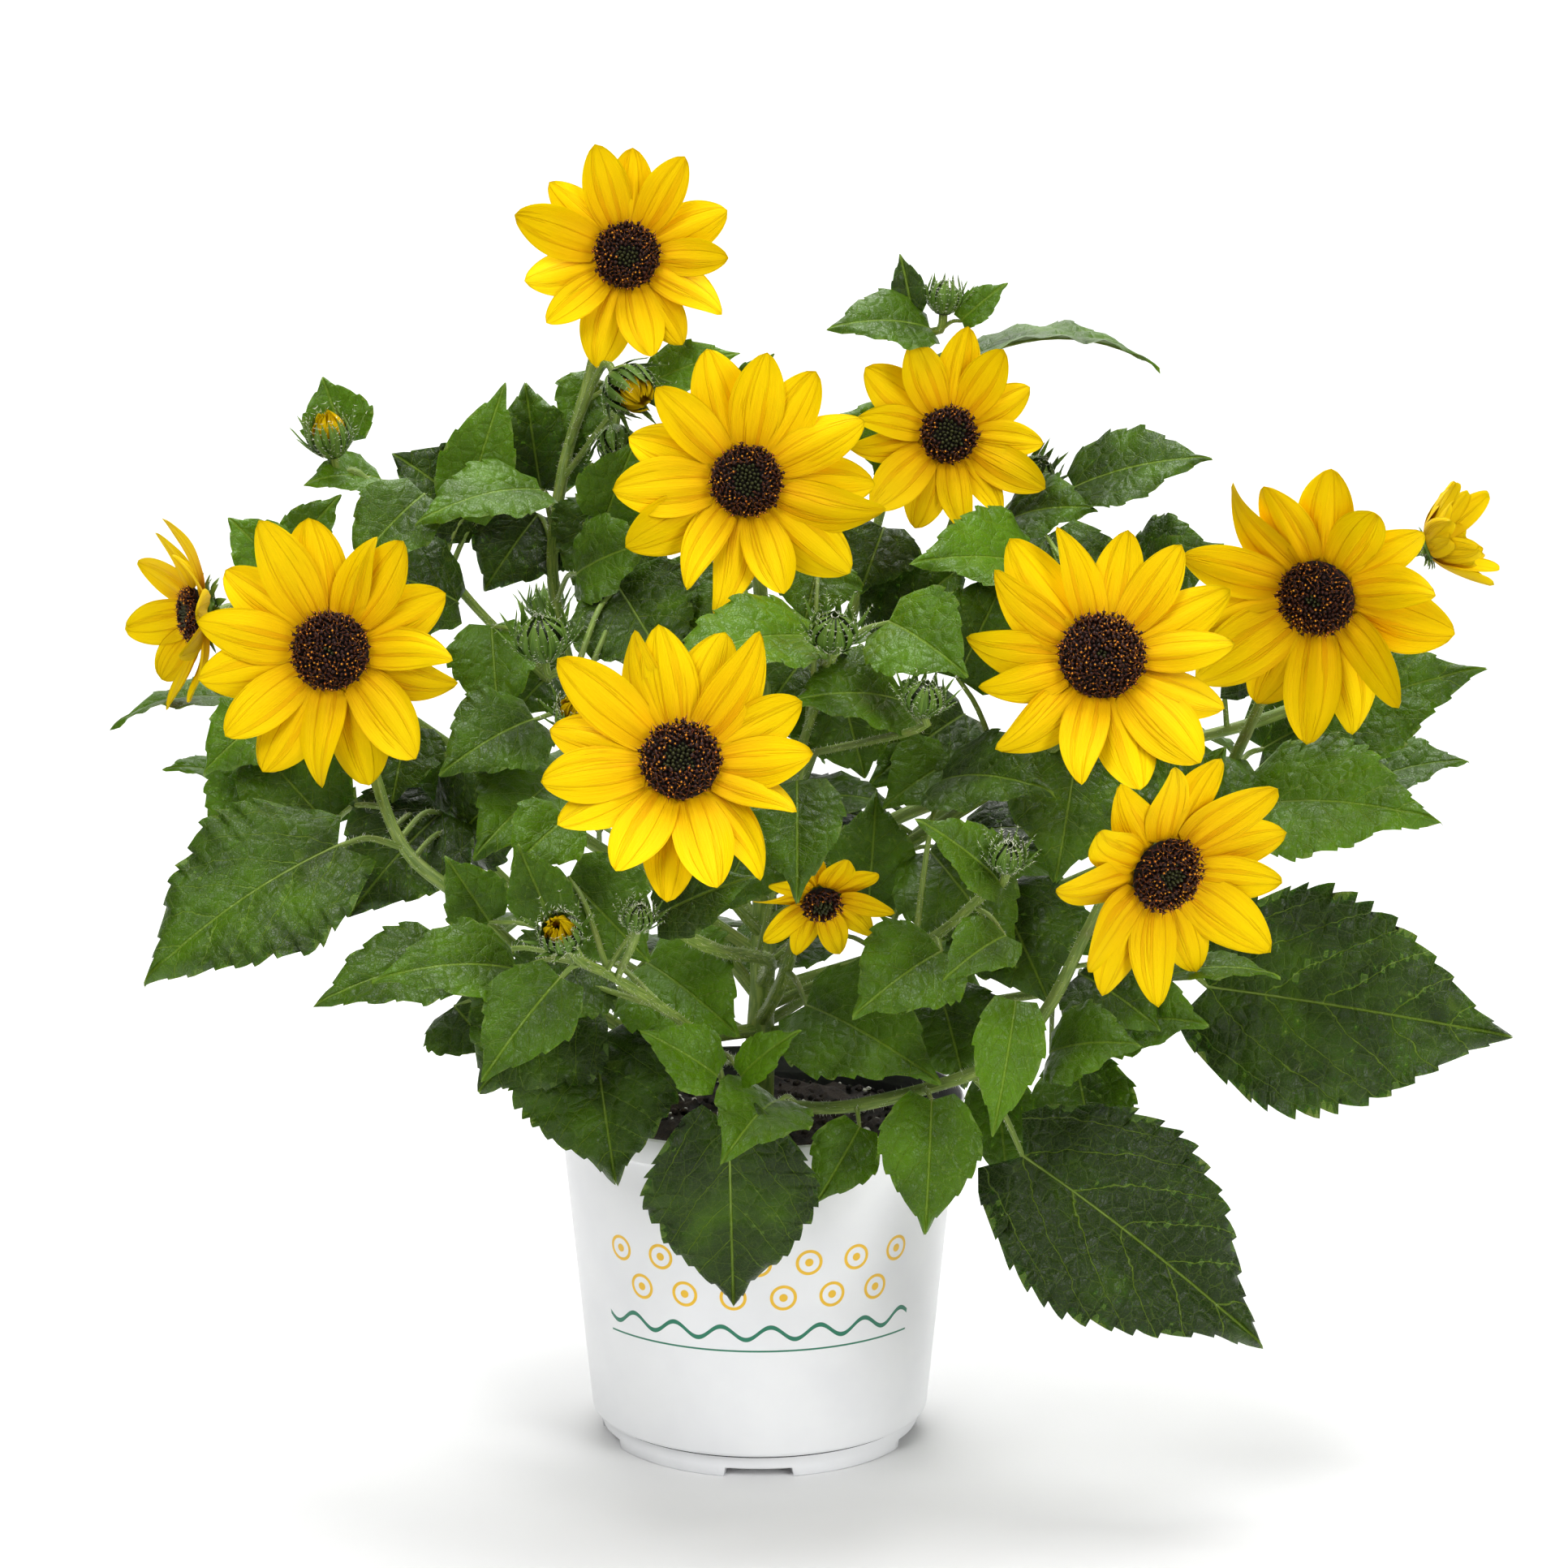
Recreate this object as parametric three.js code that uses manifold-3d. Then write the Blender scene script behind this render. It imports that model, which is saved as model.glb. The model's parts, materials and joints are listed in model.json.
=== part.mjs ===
// A bushy sunflower plant in its nursery pot. Millimetres, +Z up, -Y towards the viewer.
// The origin is the middle of the pot's underside, on the surface that the pot stands on.
import * as THREE from 'three';
import { mergeVertices } from 'three/addons/utils/BufferGeometryUtils.js';
import Module from 'manifold-3d';

const wasm = await Module();
wasm.setup();

// Pot: a tapered, injection-moulded nursery pot
const POT_HEIGHT = 188.7;
const POT_TOP_RADIUS = 108.9;
const POT_FOOT_TOP_RADIUS = 93.3;
const POT_FOOT_RADIUS = 87.8;
const POT_FOOT_HEIGHT = 14;
const RIM_RADIUS = 112.9;
const RIM_DEPTH = 14;
const POT_WALL = 1.9;
const RIM_WALL = 2.2;
const FOOT_RING_WIDTH = 7.8;
const CHANNEL_RADIUS = 60;
const CHANNEL_LIFT = 5;
const FLOOR_THICKNESS = 2.6;
const POT_SIDES = 18;
const NOTCH_COUNT = 5;
const NOTCH_WIDTH = 36;
const NOTCH_HEIGHT = 5;
const DRAIN_COUNT = 5;
const DRAIN_RADIUS = 5;

// Soil: the potting mix that fills the pot
const SOIL_TOP = 171;
const SOIL_SIDES = 10;
const SOIL_WALL_GAP = 2.2;
const SOIL_BUMP = 2.4;
const PLANT_DEPTH = 66;

// Clearance between pieces that touch, and the least gap left round a placed leaf
const SEAT_GAP = 0.3;
const LEAF_CLEARANCE = 0.35;
// Leaves of one stem may share this much of their roots, in cubic millimetres
const ROOT_OVERLAP = 40;
// Edges shorter than this, left where pieces are joined, are closed up
const SLIVER = 0.2;

// Plant
const CROWN_RADIUS = 9.6;
const BRANCH_RADIUS = 4.2;
const SHOOT_RADIUS = 3.4;
const STEM_SIDES = 4;
const CROWN_SIDES = 6;
const PETIOLE_RADIUS = 1.5;
const PETIOLE_SIDES = 3;
const LEAF_THICKNESS = 1.3;
const RAY_THICKNESS = 1.2;
const BRACT_THICKNESS = 1.4;
const PLATE_THICKNESS = 3;
const RAY_LEVEL = 0.9;
const CALYX_DEPTH = 11;
const NECK_LENGTH = 30;
const CROWN_NECK_END = 9;
const CROWN_STEPS = 9;
const CROWN_TAPER_END = 0.8;
const PETIOLE_DROP = 18;

// Colours, with the roughness of each surface
const GREEN_LEAF = { color: 0x47782a, roughness: 0.55, metalness: 0 };
const YELLOW_RAY = { color: 0xf7cf05, roughness: 0.6, metalness: 0 };
const BROWN_DISC = { color: 0x3a1a0e, roughness: 0.85, metalness: 0 };
const DARK_SOIL = { color: 0x2b211a, roughness: 0.95, metalness: 0 };
const WHITE_POT = { color: 0xe9eaec, roughness: 0.35, metalness: 0 };

// Each bloom: its centre, its reach to the ray tips, its disc's radius and its ray count.
// turn is the facing's angle from the front towards +X and lift its angle above the horizon.
const BLOOMS = {
  crown: { centre: [-6, -70, 529], reach: 70, disc: 18.5, turn: 5, lift: 8, rays: 14, cup: 0.2 },
  top: { centre: [-70, 10, 644], reach: 62, disc: 17.5, turn: 0, lift: 5, rays: 13, cup: 0.22 },
  upper_right: { centre: [101, -10, 550], reach: 57, disc: 15, turn: 0, lift: 5, rays: 13, cup: 0.12 },
  left: { centre: [-215, -110, 446], reach: 71, disc: 20, turn: -5, lift: 8, rays: 15, cup: 0.15 },
  front: { centre: [-35, -230, 407], reach: 71, disc: 19, turn: 0, lift: 25, rays: 15, cup: 0.2 },
  right: { centre: [173, -120, 444], reach: 73, disc: 22, turn: 0, lift: 20, rays: 14, cup: 0.2 },
  far_right: { centre: [286, -90, 472], reach: 74, disc: 20, turn: -25, lift: -15, rays: 14, cup: 0.1 },
  low_right: { centre: [198, -190, 347], reach: 66, disc: 18.5, turn: 25, lift: -12, rays: 13, cup: 0.25 },
  small_front: { centre: [32, -165, 329], reach: 38, disc: 9.5, turn: 5, lift: -35, rays: 10, cup: 0.2 },
  far_left: { centre: [-297, -30, 457], reach: 52, disc: 14, turn: -62, lift: 0, rays: 10, cup: 0.35 },
  half_open: { centre: [358, -20, 492], reach: 32, disc: 8, turn: 68, lift: 22, rays: 8, cup: 0.95 },
  back_top: { centre: [-8, 165, 512], reach: 54, disc: 17, turn: 188, lift: 10, rays: 8, cup: 0.2 },
  back_right: { centre: [202, 165, 412], reach: 56, disc: 18, turn: 165, lift: 5, rays: 8, cup: 0.2 },
};

// The crown stem rises from the soil and ends in the crown bloom
const CROWN_ROUTE = [[0, 0, 200], [3, 6, 300], [4, 6, 400], [0, -2, 475], [-7, -32, 515]];

// Each other stem: its height on the crown stem, its route, and what its end carries
const STEMS = {
  top: {
    rise: 240, bloom: 'top',
    route: [[-45, 22, 300], [-90, 20, 380], [-111, 12, 465], [-107, 22, 525],
      [-92, 34, 580], [-82, 44, 620]],
  },
  upper_right: {
    rise: 330, bloom: 'upper_right',
    route: [[40, 18, 395], [88, 32, 460], [110, 34, 515]],
  },
  left: {
    rise: 224, bloom: 'left',
    route: [[-60, -50, 232], [-110, -90, 275], [-149, -122, 320], [-181, -112, 347],
      [-202, -86, 395]],
  },
  front: {
    rise: 250, bloom: 'front',
    route: [[5, -60, 276], [-20, -130, 296], [-42, -178, 320], [-45, -196, 352]],
  },
  right: { rise: 282, route: [[60, -25, 320], [120, -60, 365], [160, -80, 400]], bloom: 'right' },
  far_right: {
    rise: 244, bloom: 'far_right',
    route: [[90, -5, 275], [170, -15, 310], [237, -30, 346], [254, -40, 385],
      [276, -50, 438]],
  },
  low_right: {
    rise: 190, bloom: 'low_right',
    route: [[-10, -55, 198], [15, -97, 206], [55, -122, 214], [121, -134, 238],
      [146, -142, 268], [166, -150, 312]],
  },
  small_front: { rise: 228, route: [[12, -50, 262], [24, -100, 312]], bloom: 'small_front' },
  far_left: {
    rise: 265, bloom: 'far_left',
    route: [[-80, 12, 318], [-160, 5, 375], [-225, -10, 425]],
  },
  half_open: {
    rise: 302, bloom: 'half_open',
    route: [[90, 20, 345], [190, 16, 372], [290, 6, 402], [330, 0, 445]],
  },
  back_top: {
    rise: 318, bloom: 'back_top',
    route: [[-4, 48, 385], [-10, 105, 450], [-10, 132, 490]],
  },
  back_right: {
    rise: 256, bloom: 'back_right',
    route: [[60, 50, 300], [130, 105, 350], [182, 130, 388]],
  },
  shoot_top: {
    rise: 312, bud: 'shoot_top',
    route: [[32, 40, 380], [58, 58, 470], [78, 45, 550], [88, 18, 598]],
  },
  shoot_left: {
    rise: 292, bud: 'shoot_left',
    route: [[-50, 8, 350], [-105, -8, 410], [-147, -4, 452], [-170, 0, 478],
      [-195, -6, 508], [-213, -12, 530]],
  },
  shoot_front: {
    rise: 205, bud: 'shoot_front',
    route: [[-16, -60, 222], [-20, -120, 240], [-42, -150, 267], [-68, -182, 292],
      [-85, -212, 308]],
  },
  shoot_right: {
    rise: 222, bud: 'shoot_right',
    route: [[75, -22, 238], [150, -42, 254], [205, -52, 266]],
  },
  shoot_centre: {
    rise: 275, bud: 'shoot_centre',
    route: [[-35, -45, 330], [-72, -78, 388], [-98, -92, 430]],
  },
  shoot_middle: {
    rise: 312, bud: 'shoot_middle',
    route: [[14, -45, 360], [28, -95, 412], [35, -132, 444]],
  },
  shoot_low: {
    rise: 236, bud: 'shoot_low',
    route: [[45, -68, 270], [85, -130, 300], [112, -178, 334]],
  },
  shoot_back: { rise: 276, route: [[-45, 60, 345], [-100, 108, 405]], bud: 'shoot_back' },
  shoot_back_left: { rise: 218, route: [[-60, 50, 240], [-130, 90, 278]], bud: 'shoot_back_left' },
  shoot_back_right: { rise: 226, route: [[60, 60, 250], [130, 98, 285]], bud: 'shoot_back_right' },
};

// Each bud: its centre, its radius, its facing, and whether its yellow rays show yet.
// A bud with a stem's name ends that stem; one with a parent stands on a side stalk from it.
const BUDS = {
  shoot_top: { centre: [99, 8, 622], radius: 10, turn: 20, lift: 75 },
  shoot_left: { centre: [-226, -22, 549], radius: 12, turn: -20, lift: 65, open: true },
  shoot_front: { centre: [-92, -236, 326], radius: 10.5, turn: -10, lift: 35, open: true },
  shoot_right: { centre: [222, -62, 286], radius: 9, turn: 20, lift: 60 },
  shoot_centre: { centre: [-109, -104, 452], radius: 14, turn: -10, lift: 60 },
  shoot_middle: { centre: [38, -152, 460], radius: 12, turn: 5, lift: 50 },
  shoot_low: { centre: [121, -200, 356], radius: 9, turn: 10, lift: 60 },
  shoot_back: { centre: [-124, 124, 446], radius: 11, turn: 200, lift: 70 },
  shoot_back_left: { centre: [-165, 110, 318], radius: 10, turn: 200, lift: 50 },
  shoot_back_right: { centre: [172, 112, 325], radius: 10, turn: 150, lift: 50 },
  beside_top: {
    centre: [-69, -14, 575], radius: 14, turn: 40, lift: -25, open: true,
    parent: 'top', root: 0.72,
  },
  below_top: {
    centre: [-76, -4, 546], radius: 10.5, turn: 10, lift: -50,
    parent: 'top', root: 0.68,
  },
  beside_upper: {
    centre: [150, 26, 527], radius: 12, turn: 30, lift: 40,
    parent: 'upper_right', root: 0.5,
  },
  beside_centre: {
    centre: [-89, -160, 420], radius: 10.5, turn: 0, lift: 45, open: true,
    parent: 'shoot_centre', root: 0.55,
  },
  beside_middle: {
    centre: [82, -160, 428], radius: 10.5, turn: 15, lift: 60,
    parent: 'shoot_middle', root: 0.5,
  },
  beside_front: {
    centre: [-56, -218, 330], radius: 8, turn: 20, lift: 60,
    parent: 'shoot_front', root: 0.78,
  },
};

// The large leaves of each stem: the base and tip of the blade, its full width, its tilt from
// facing up (0) to facing the viewer (90), its midrib's arch, and its teeth on each side
const LEAVES = {
  low_right: [
    { base: [136, -128, 188], tip: [254, -172, 102], width: 112, tilt: 62, arch: 0.08, teeth: 8 },
    { base: [52, -134, 205], tip: [30, -144, 168], width: 36, tilt: 80, arch: 0.08, teeth: 3 },
    { base: [129, -158, 276], tip: [116, -190, 215], width: 36, tilt: 80, arch: 0.1, teeth: 3 },
    { base: [202, -168, 288], tip: [258, -200, 292], width: 28, tilt: 20, arch: 0.1, teeth: 3 },
    { base: [88, -146, 222], tip: [84, -172, 160], width: 52, tilt: 82, arch: 0.08, teeth: 4 },
  ],
  shoot_right: [
    { base: [238, -62, 262], tip: [388, -108, 246], width: 120, tilt: 72, arch: 0.06, teeth: 8 },
    { base: [128, -28, 205], tip: [134, -48, 148], width: 40, tilt: 80, arch: 0.08, teeth: 3 },
    { base: [150, -118, 240], tip: [192, -152, 252], width: 50, tilt: 50, arch: 0.1, teeth: 4 },
    { base: [185, -66, 242], tip: [232, -108, 252], width: 56, tilt: 50, arch: 0.1, teeth: 4 },
    { base: [168, -70, 222], tip: [176, -110, 166], width: 54, tilt: 74, arch: 0.1, teeth: 4 },
    { base: [96, -70, 260], tip: [108, -96, 216], width: 62, tilt: 76, arch: 0.1, teeth: 4 },
    { base: [168, -80, 273], tip: [207, -110, 250], width: 56, tilt: 60, arch: 0.1, teeth: 4 },
  ],
  left: [
    { base: [-211, -132, 350], tip: [-303, -170, 288], width: 92, tilt: 50, arch: 0.1, teeth: 7 },
    { base: [-224, -68, 349], tip: [-274, -52, 400], width: 62, tilt: 66, arch: 0.06, teeth: 5 },
    { base: [-175, -52, 346], tip: [-148, -24, 392], width: 46, tilt: 70, arch: 0.06, teeth: 3 },
    { base: [-158, -62, 342], tip: [-118, -90, 380], width: 58, tilt: 70, arch: 0.1, teeth: 4 },
    { base: [-165, -70, 357], tip: [-210, -104, 308], width: 70, tilt: 62, arch: 0.1, teeth: 4 },
    { base: [-252, -60, 408], tip: [-288, -76, 378], width: 44, tilt: 56, arch: 0.1, teeth: 3 },
    { base: [-259, -50, 371], tip: [-286, -66, 339], width: 50, tilt: 60, arch: 0.1, teeth: 4 },
    { base: [-183, -60, 400], tip: [-189, -84, 364], width: 46, tilt: 76, arch: 0.08, teeth: 3 },
  ],
  shoot_front: [
    { base: [-14, -163, 214], tip: [-12, -156, 117], width: 86, tilt: 88, arch: 0.06, teeth: 7 },
    { base: [-84, -104, 244], tip: [-72, -142, 178], width: 90, tilt: 72, arch: 0.1, teeth: 7 },
    { base: [-146, -158, 296], tip: [-216, -192, 281], width: 52, tilt: 40, arch: 0.1, teeth: 4 },
    { base: [-116, -196, 300], tip: [-182, -232, 302], width: 46, tilt: 48, arch: 0.12, teeth: 3 },
    { base: [-94, -214, 300], tip: [-130, -240, 255], width: 46, tilt: 62, arch: 0.1, teeth: 3 },
    { base: [-132, -168, 318], tip: [-152, -180, 353], width: 34, tilt: 62, arch: 0.05, teeth: 3 },
    { base: [-100, -196, 326], tip: [-114, -208, 364], width: 32, tilt: 76, arch: 0.05, teeth: 3 },
    { base: [-48, -200, 327], tip: [0, -218, 350], width: 38, tilt: 58, arch: 0.08, teeth: 3 },
    { base: [-20, -152, 236], tip: [-58, -164, 262], width: 36, tilt: 54, arch: 0.08, teeth: 3 },
    { base: [-8, -152, 236], tip: [22, -166, 263], width: 24, tilt: 50, arch: 0.08, teeth: 3 },
    { base: [-96, -88, 268], tip: [-142, -112, 222], width: 84, tilt: 60, arch: 0.1, teeth: 5 },
    { base: [-93, -160, 339], tip: [-53, -172, 299], width: 60, tilt: 76, arch: 0.1, teeth: 4 },
    { base: [-88, -120, 290], tip: [-119, -150, 261], width: 60, tilt: 66, arch: 0.1, teeth: 4 },
    { base: [-158, -90, 258], tip: [-135, -110, 237], width: 50, tilt: 70, arch: 0.08, teeth: 4 },
  ],
  far_right: [
    { base: [276, 18, 378], tip: [391, -38, 425], width: 82, tilt: 54, arch: 0.1, teeth: 7 },
    { base: [328, 30, 354], tip: [387, 10, 372], width: 50, tilt: 30, arch: 0.08, teeth: 4 },
    { base: [256, -60, 358], tip: [346, -118, 360], width: 80, tilt: 50, arch: 0.1, teeth: 7 },
    { base: [208, -50, 332], tip: [244, -62, 390], width: 72, tilt: 70, arch: 0.1, teeth: 4 },
    { base: [243, -40, 383], tip: [214, -78, 337], width: 66, tilt: 72, arch: 0.1, teeth: 4 },
  ],
  upper_right: [
    { base: [168, -6, 522], tip: [238, -30, 539], width: 54, tilt: 46, arch: 0.08, teeth: 4 },
    { base: [78, 32, 538], tip: [42, 10, 560], width: 46, tilt: 60, arch: 0.1, teeth: 3 },
    { base: [67, 0, 500], tip: [54, -20, 467], width: 50, tilt: 76, arch: 0.08, teeth: 4 },
    { base: [133, 22, 503], tip: [178, 0, 512], width: 50, tilt: 50, arch: 0.1, teeth: 4 },
  ],
  shoot_top: [
    { base: [118, 22, 592], tip: [217, 30, 584], width: 56, tilt: 8, arch: 0.13, teeth: 5 },
    { base: [91, 0, 606], tip: [36, -20, 606], width: 42, tilt: 48, arch: 0.1, teeth: 3 },
    { base: [82, 6, 614], tip: [75, 2, 645], width: 20, tilt: 70, arch: 0.05, teeth: 3 },
    { base: [108, 4, 610], tip: [132, -2, 630], width: 20, tilt: 60, arch: 0.05, teeth: 3 },
  ],
  top: [
    { base: [-60, 20, 576], tip: [-10, 8, 593], width: 32, tilt: 60, arch: 0.08, teeth: 3 },
    { base: [-120, 42, 518], tip: [-127, 34, 576], width: 62, tilt: 84, arch: 0.05, teeth: 5 },
    { base: [-116, -12, 521], tip: [-178, -55, 506], width: 48, tilt: 40, arch: 0.1, teeth: 4 },
    { base: [-96, -30, 478], tip: [-52, -58, 498], width: 50, tilt: 60, arch: 0.08, teeth: 4 },
    { base: [-82, -10, 505], tip: [-64, -22, 549], width: 42, tilt: 80, arch: 0.1, teeth: 3 },
    { base: [-72, 12, 509], tip: [-97, -8, 461], width: 66, tilt: 74, arch: 0.08, teeth: 5 },
    { base: [-121, 34, 505], tip: [-149, 14, 465], width: 60, tilt: 72, arch: 0.08, teeth: 4 },
    { base: [-86, 46, 577], tip: [-104, 26, 543], width: 40, tilt: 70, arch: 0.08, teeth: 3 },
  ],
  crown: [
    { base: [-12, 42, 568], tip: [8, 40, 592], width: 20, tilt: 60, arch: 0.05, teeth: 3 },
  ],
  shoot_left: [
    { base: [-222, 12, 545], tip: [-234, 12, 580], width: 40, tilt: 84, arch: 0.05, teeth: 3 },
    { base: [-160, 12, 504], tip: [-136, 12, 577], width: 42, tilt: 80, arch: 0.06, teeth: 3 },
    { base: [-176, -30, 520], tip: [-212, -50, 480], width: 46, tilt: 60, arch: 0.1, teeth: 3 },
    { base: [-152, 20, 503], tip: [-198, 0, 539], width: 60, tilt: 60, arch: 0.1, teeth: 4 },
    { base: [-202, 0, 526], tip: [-239, -30, 525], width: 34, tilt: 46, arch: 0.1, teeth: 3 },
    { base: [-103, 6, 429], tip: [-133, -20, 400], width: 52, tilt: 66, arch: 0.1, teeth: 4 },
  ],
  far_left: [
    { base: [-262, 22, 476], tip: [-288, 20, 504], width: 36, tilt: 60, arch: 0.08, teeth: 3 },
    { base: [-258, 32, 482], tip: [-228, 30, 516], width: 30, tilt: 70, arch: 0.05, teeth: 3 },
    { base: [-272, -22, 408], tip: [-350, -60, 392], width: 48, tilt: 12, arch: 0.12, teeth: 4 },
    { base: [-290, 0, 366], tip: [-320, -20, 372], width: 22, tilt: 30, arch: 0.08, teeth: 3 },
    { base: [-160, -20, 462], tip: [-212, -35, 480], width: 58, tilt: 50, arch: 0.1, teeth: 4 },
  ],
  small_front: [
    { base: [20, -172, 388], tip: [20, -208, 334], width: 46, tilt: 72, arch: 0.14, teeth: 3 },
    { base: [25, -70, 258], tip: [92, -112, 232], width: 72, tilt: 60, arch: 0.1, teeth: 5 },
    { base: [3, -100, 362], tip: [-22, -130, 313], width: 62, tilt: 78, arch: 0.08, teeth: 4 },
  ],
  shoot_middle: [
    { base: [34, -112, 452], tip: [-50, -160, 438], width: 58, tilt: 35, arch: 0.12, teeth: 5 },
    { base: [66, -120, 462], tip: [104, -152, 438], width: 56, tilt: 66, arch: 0.12, teeth: 4 },
    { base: [75, -112, 420], tip: [16, -150, 425], width: 56, tilt: 45, arch: 0.1, teeth: 4 },
    { base: [66, -20, 442], tip: [112, -48, 482], width: 62, tilt: 60, arch: 0.08, teeth: 5 },
    { base: [32, -40, 486], tip: [24, -60, 454], width: 50, tilt: 76, arch: 0.08, teeth: 4 },
    { base: [28, -62, 441], tip: [7, -84, 416], width: 42, tilt: 66, arch: 0.1, teeth: 3 },
  ],
  shoot_centre: [
    { base: [-140, -44, 452], tip: [-134, -72, 402], width: 48, tilt: 74, arch: 0.1, teeth: 4 },
    { base: [-115, -85, 408], tip: [-160, -125, 385], width: 54, tilt: 60, arch: 0.1, teeth: 4 },
    { base: [-98, -70, 378], tip: [-142, -120, 345], width: 66, tilt: 60, arch: 0.1, teeth: 5 },
    { base: [-62, -30, 472], tip: [-18, -72, 436], width: 66, tilt: 60, arch: 0.1, teeth: 5 },
    { base: [-74, -40, 473], tip: [-43, -78, 428], width: 74, tilt: 74, arch: 0.08, teeth: 5 },
  ],
  shoot_low: [
    { base: [120, -192, 340], tip: [76, -222, 376], width: 36, tilt: 46, arch: 0.08, teeth: 3 },
    { base: [92, -152, 300], tip: [47, -190, 275], width: 56, tilt: 56, arch: 0.1, teeth: 4 },
    { base: [122, -182, 314], tip: [90, -212, 298], width: 34, tilt: 50, arch: 0.1, teeth: 3 },
    { base: [95, -80, 375], tip: [148, -140, 378], width: 60, tilt: 50, arch: 0.1, teeth: 5 },
    { base: [90, -62, 335], tip: [132, -118, 285], width: 66, tilt: 70, arch: 0.1, teeth: 5 },
    { base: [126, -70, 314], tip: [150, -104, 263], width: 74, tilt: 76, arch: 0.08, teeth: 5 },
  ],
  front: [
    { base: [-92, -178, 372], tip: [-118, -205, 350], width: 40, tilt: 66, arch: 0.1, teeth: 3 },
    { base: [58, -60, 300], tip: [62, -92, 365], width: 58, tilt: 82, arch: 0.1, teeth: 4 },
    { base: [-58, -85, 280], tip: [-10, -130, 252], width: 72, tilt: 60, arch: 0.1, teeth: 5 },
    { base: [42, -60, 424], tip: [56, -96, 374], width: 62, tilt: 80, arch: 0.08, teeth: 4 },
  ],
  right: [
    { base: [150, -20, 480], tip: [78, -70, 488], width: 62, tilt: 50, arch: 0.1, teeth: 5 },
    { base: [110, -20, 402], tip: [60, -60, 372], width: 62, tilt: 66, arch: 0.08, teeth: 5 },
    { base: [168, -60, 399], tip: [153, -100, 326], width: 88, tilt: 74, arch: 0.1, teeth: 4 },
    { base: [104, -60, 426], tip: [130, -72, 485], width: 64, tilt: 76, arch: 0.1, teeth: 4 },
    { base: [152, -30, 498], tip: [173, -50, 440], width: 64, tilt: 76, arch: 0.08, teeth: 4 },
    { base: [103, -48, 381], tip: [65, -72, 359], width: 46, tilt: 56, arch: 0.1, teeth: 3 },
  ],
  half_open: [
    { base: [205, -36, 466], tip: [242, -58, 496], width: 46, tilt: 50, arch: 0.1, teeth: 3 },
    { base: [250, 0, 420], tip: [322, -20, 452], width: 54, tilt: 50, arch: 0.1, teeth: 4 },
    { base: [202, -10, 479], tip: [242, -30, 491], width: 52, tilt: 54, arch: 0.1, teeth: 4 },
  ],
};

// Smaller leaves that fill the plant: each stem carries some, by rule, at these places along it
const FILLER_PLACES = [0.3, 0.42, 0.55, 0.68, 0.8];
const FILLER_LENGTH = 104;
const FILLER_WIDTH = 0.7;
const FILLER_PETIOLE = 34;
const FILLER_TRIES = 7;
const GOLDEN_TURN = 137.5;
const FILLED_STEMS = {
  crown: 2, top: 1, right: 1, low_right: 1, far_left: 2, half_open: 2, back_top: 4,
  back_right: 4, shoot_left: 1, shoot_back: 4, shoot_back_left: 4, shoot_back_right: 4,
};

// A leaf that would touch another piece is bent away from or towards the viewer, by these
// shares of its length at the tip, and then also at the base
const TIP_BENDS = [0, 0.12, -0.12, 0.24, -0.24, 0.36, -0.36, 0.5, -0.5];
const BASE_BENDS = [0, 9, -9, 18, -18];

const UP = new THREE.Vector3(0, 0, 1);
const NOWHERE = new THREE.Vector3();
const vec = (point) => new THREE.Vector3(...point);
const radians = THREE.MathUtils.degToRad;

// Repeatable draws between 0 and 1
function draws(seed) {
  const MODULUS = 2147483647;
  let state = seed;
  return () => {
    state = (state * 16807) % MODULUS;
    return state / MODULUS;
  };
}

// A closed three.js geometry as a solid for cutting and joining
function solid(geometry) {
  const bare = geometry.clone();
  bare.deleteAttribute('normal');
  bare.deleteAttribute('uv');
  const welded = mergeVertices(bare, 1e-4);
  return new wasm.Manifold(new wasm.Mesh({
    numProp: 3,
    vertProperties: new Float32Array(welded.attributes.position.array),
    triVerts: new Uint32Array(welded.index.array),
  }));
}

// A solid as a named mesh with its own material
function namedMesh(name, body, material) {
  const made = body.getMesh();
  const geometry = new THREE.BufferGeometry();
  geometry.setAttribute('position', new THREE.BufferAttribute(made.vertProperties, 3));
  geometry.setIndex(new THREE.BufferAttribute(made.triVerts, 1));
  geometry.computeVertexNormals();
  const mesh = new THREE.Mesh(geometry, new THREE.MeshStandardMaterial(material));
  mesh.name = name;
  return mesh;
}

// Several solids joined in one
function joined(solids) {
  return solids.reduce((whole, next) => whole.add(next));
}

// A turned solid from [radius, height] points, with its axis along +Z
function turned(profile, sides) {
  const points = profile.map(([radius, height]) => new THREE.Vector2(radius, height));
  return solid(new THREE.LatheGeometry(points, sides).rotateX(Math.PI / 2));
}

// A round bar along a curve, whose radius follows radiusAt(share of its length)
function bar(curve, sides, steps, radiusAt) {
  const corners = [];
  for (let i = 0; i < sides; i += 1) {
    const angle = (2 * Math.PI * i) / sides;
    corners.push(new THREE.Vector2(Math.cos(angle), Math.sin(angle)));
  }
  const options = { steps, extrudePath: curve, bevelEnabled: false };
  const geometry = new THREE.ExtrudeGeometry(new THREE.Shape(corners), options);
  const centres = curve.getSpacedPoints(steps);
  const position = geometry.attributes.position;
  const corner = new THREE.Vector3();
  for (let i = 0; i < position.count; i += 1) {
    corner.fromBufferAttribute(position, i);
    const nearest = nearestIndex(centres, corner);
    const centre = centres[nearest];
    corner.sub(centre).multiplyScalar(radiusAt(nearest / steps)).add(centre);
    position.setXYZ(i, corner.x, corner.y, corner.z);
  }
  return solid(geometry);
}

// The index of the point that lies nearest to a place
function nearestIndex(points, place) {
  let best = 0;
  for (let i = 1; i < points.length; i += 1) {
    if (points[i].distanceToSquared(place) < points[best].distanceToSquared(place)) best = i;
  }
  return best;
}

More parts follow.
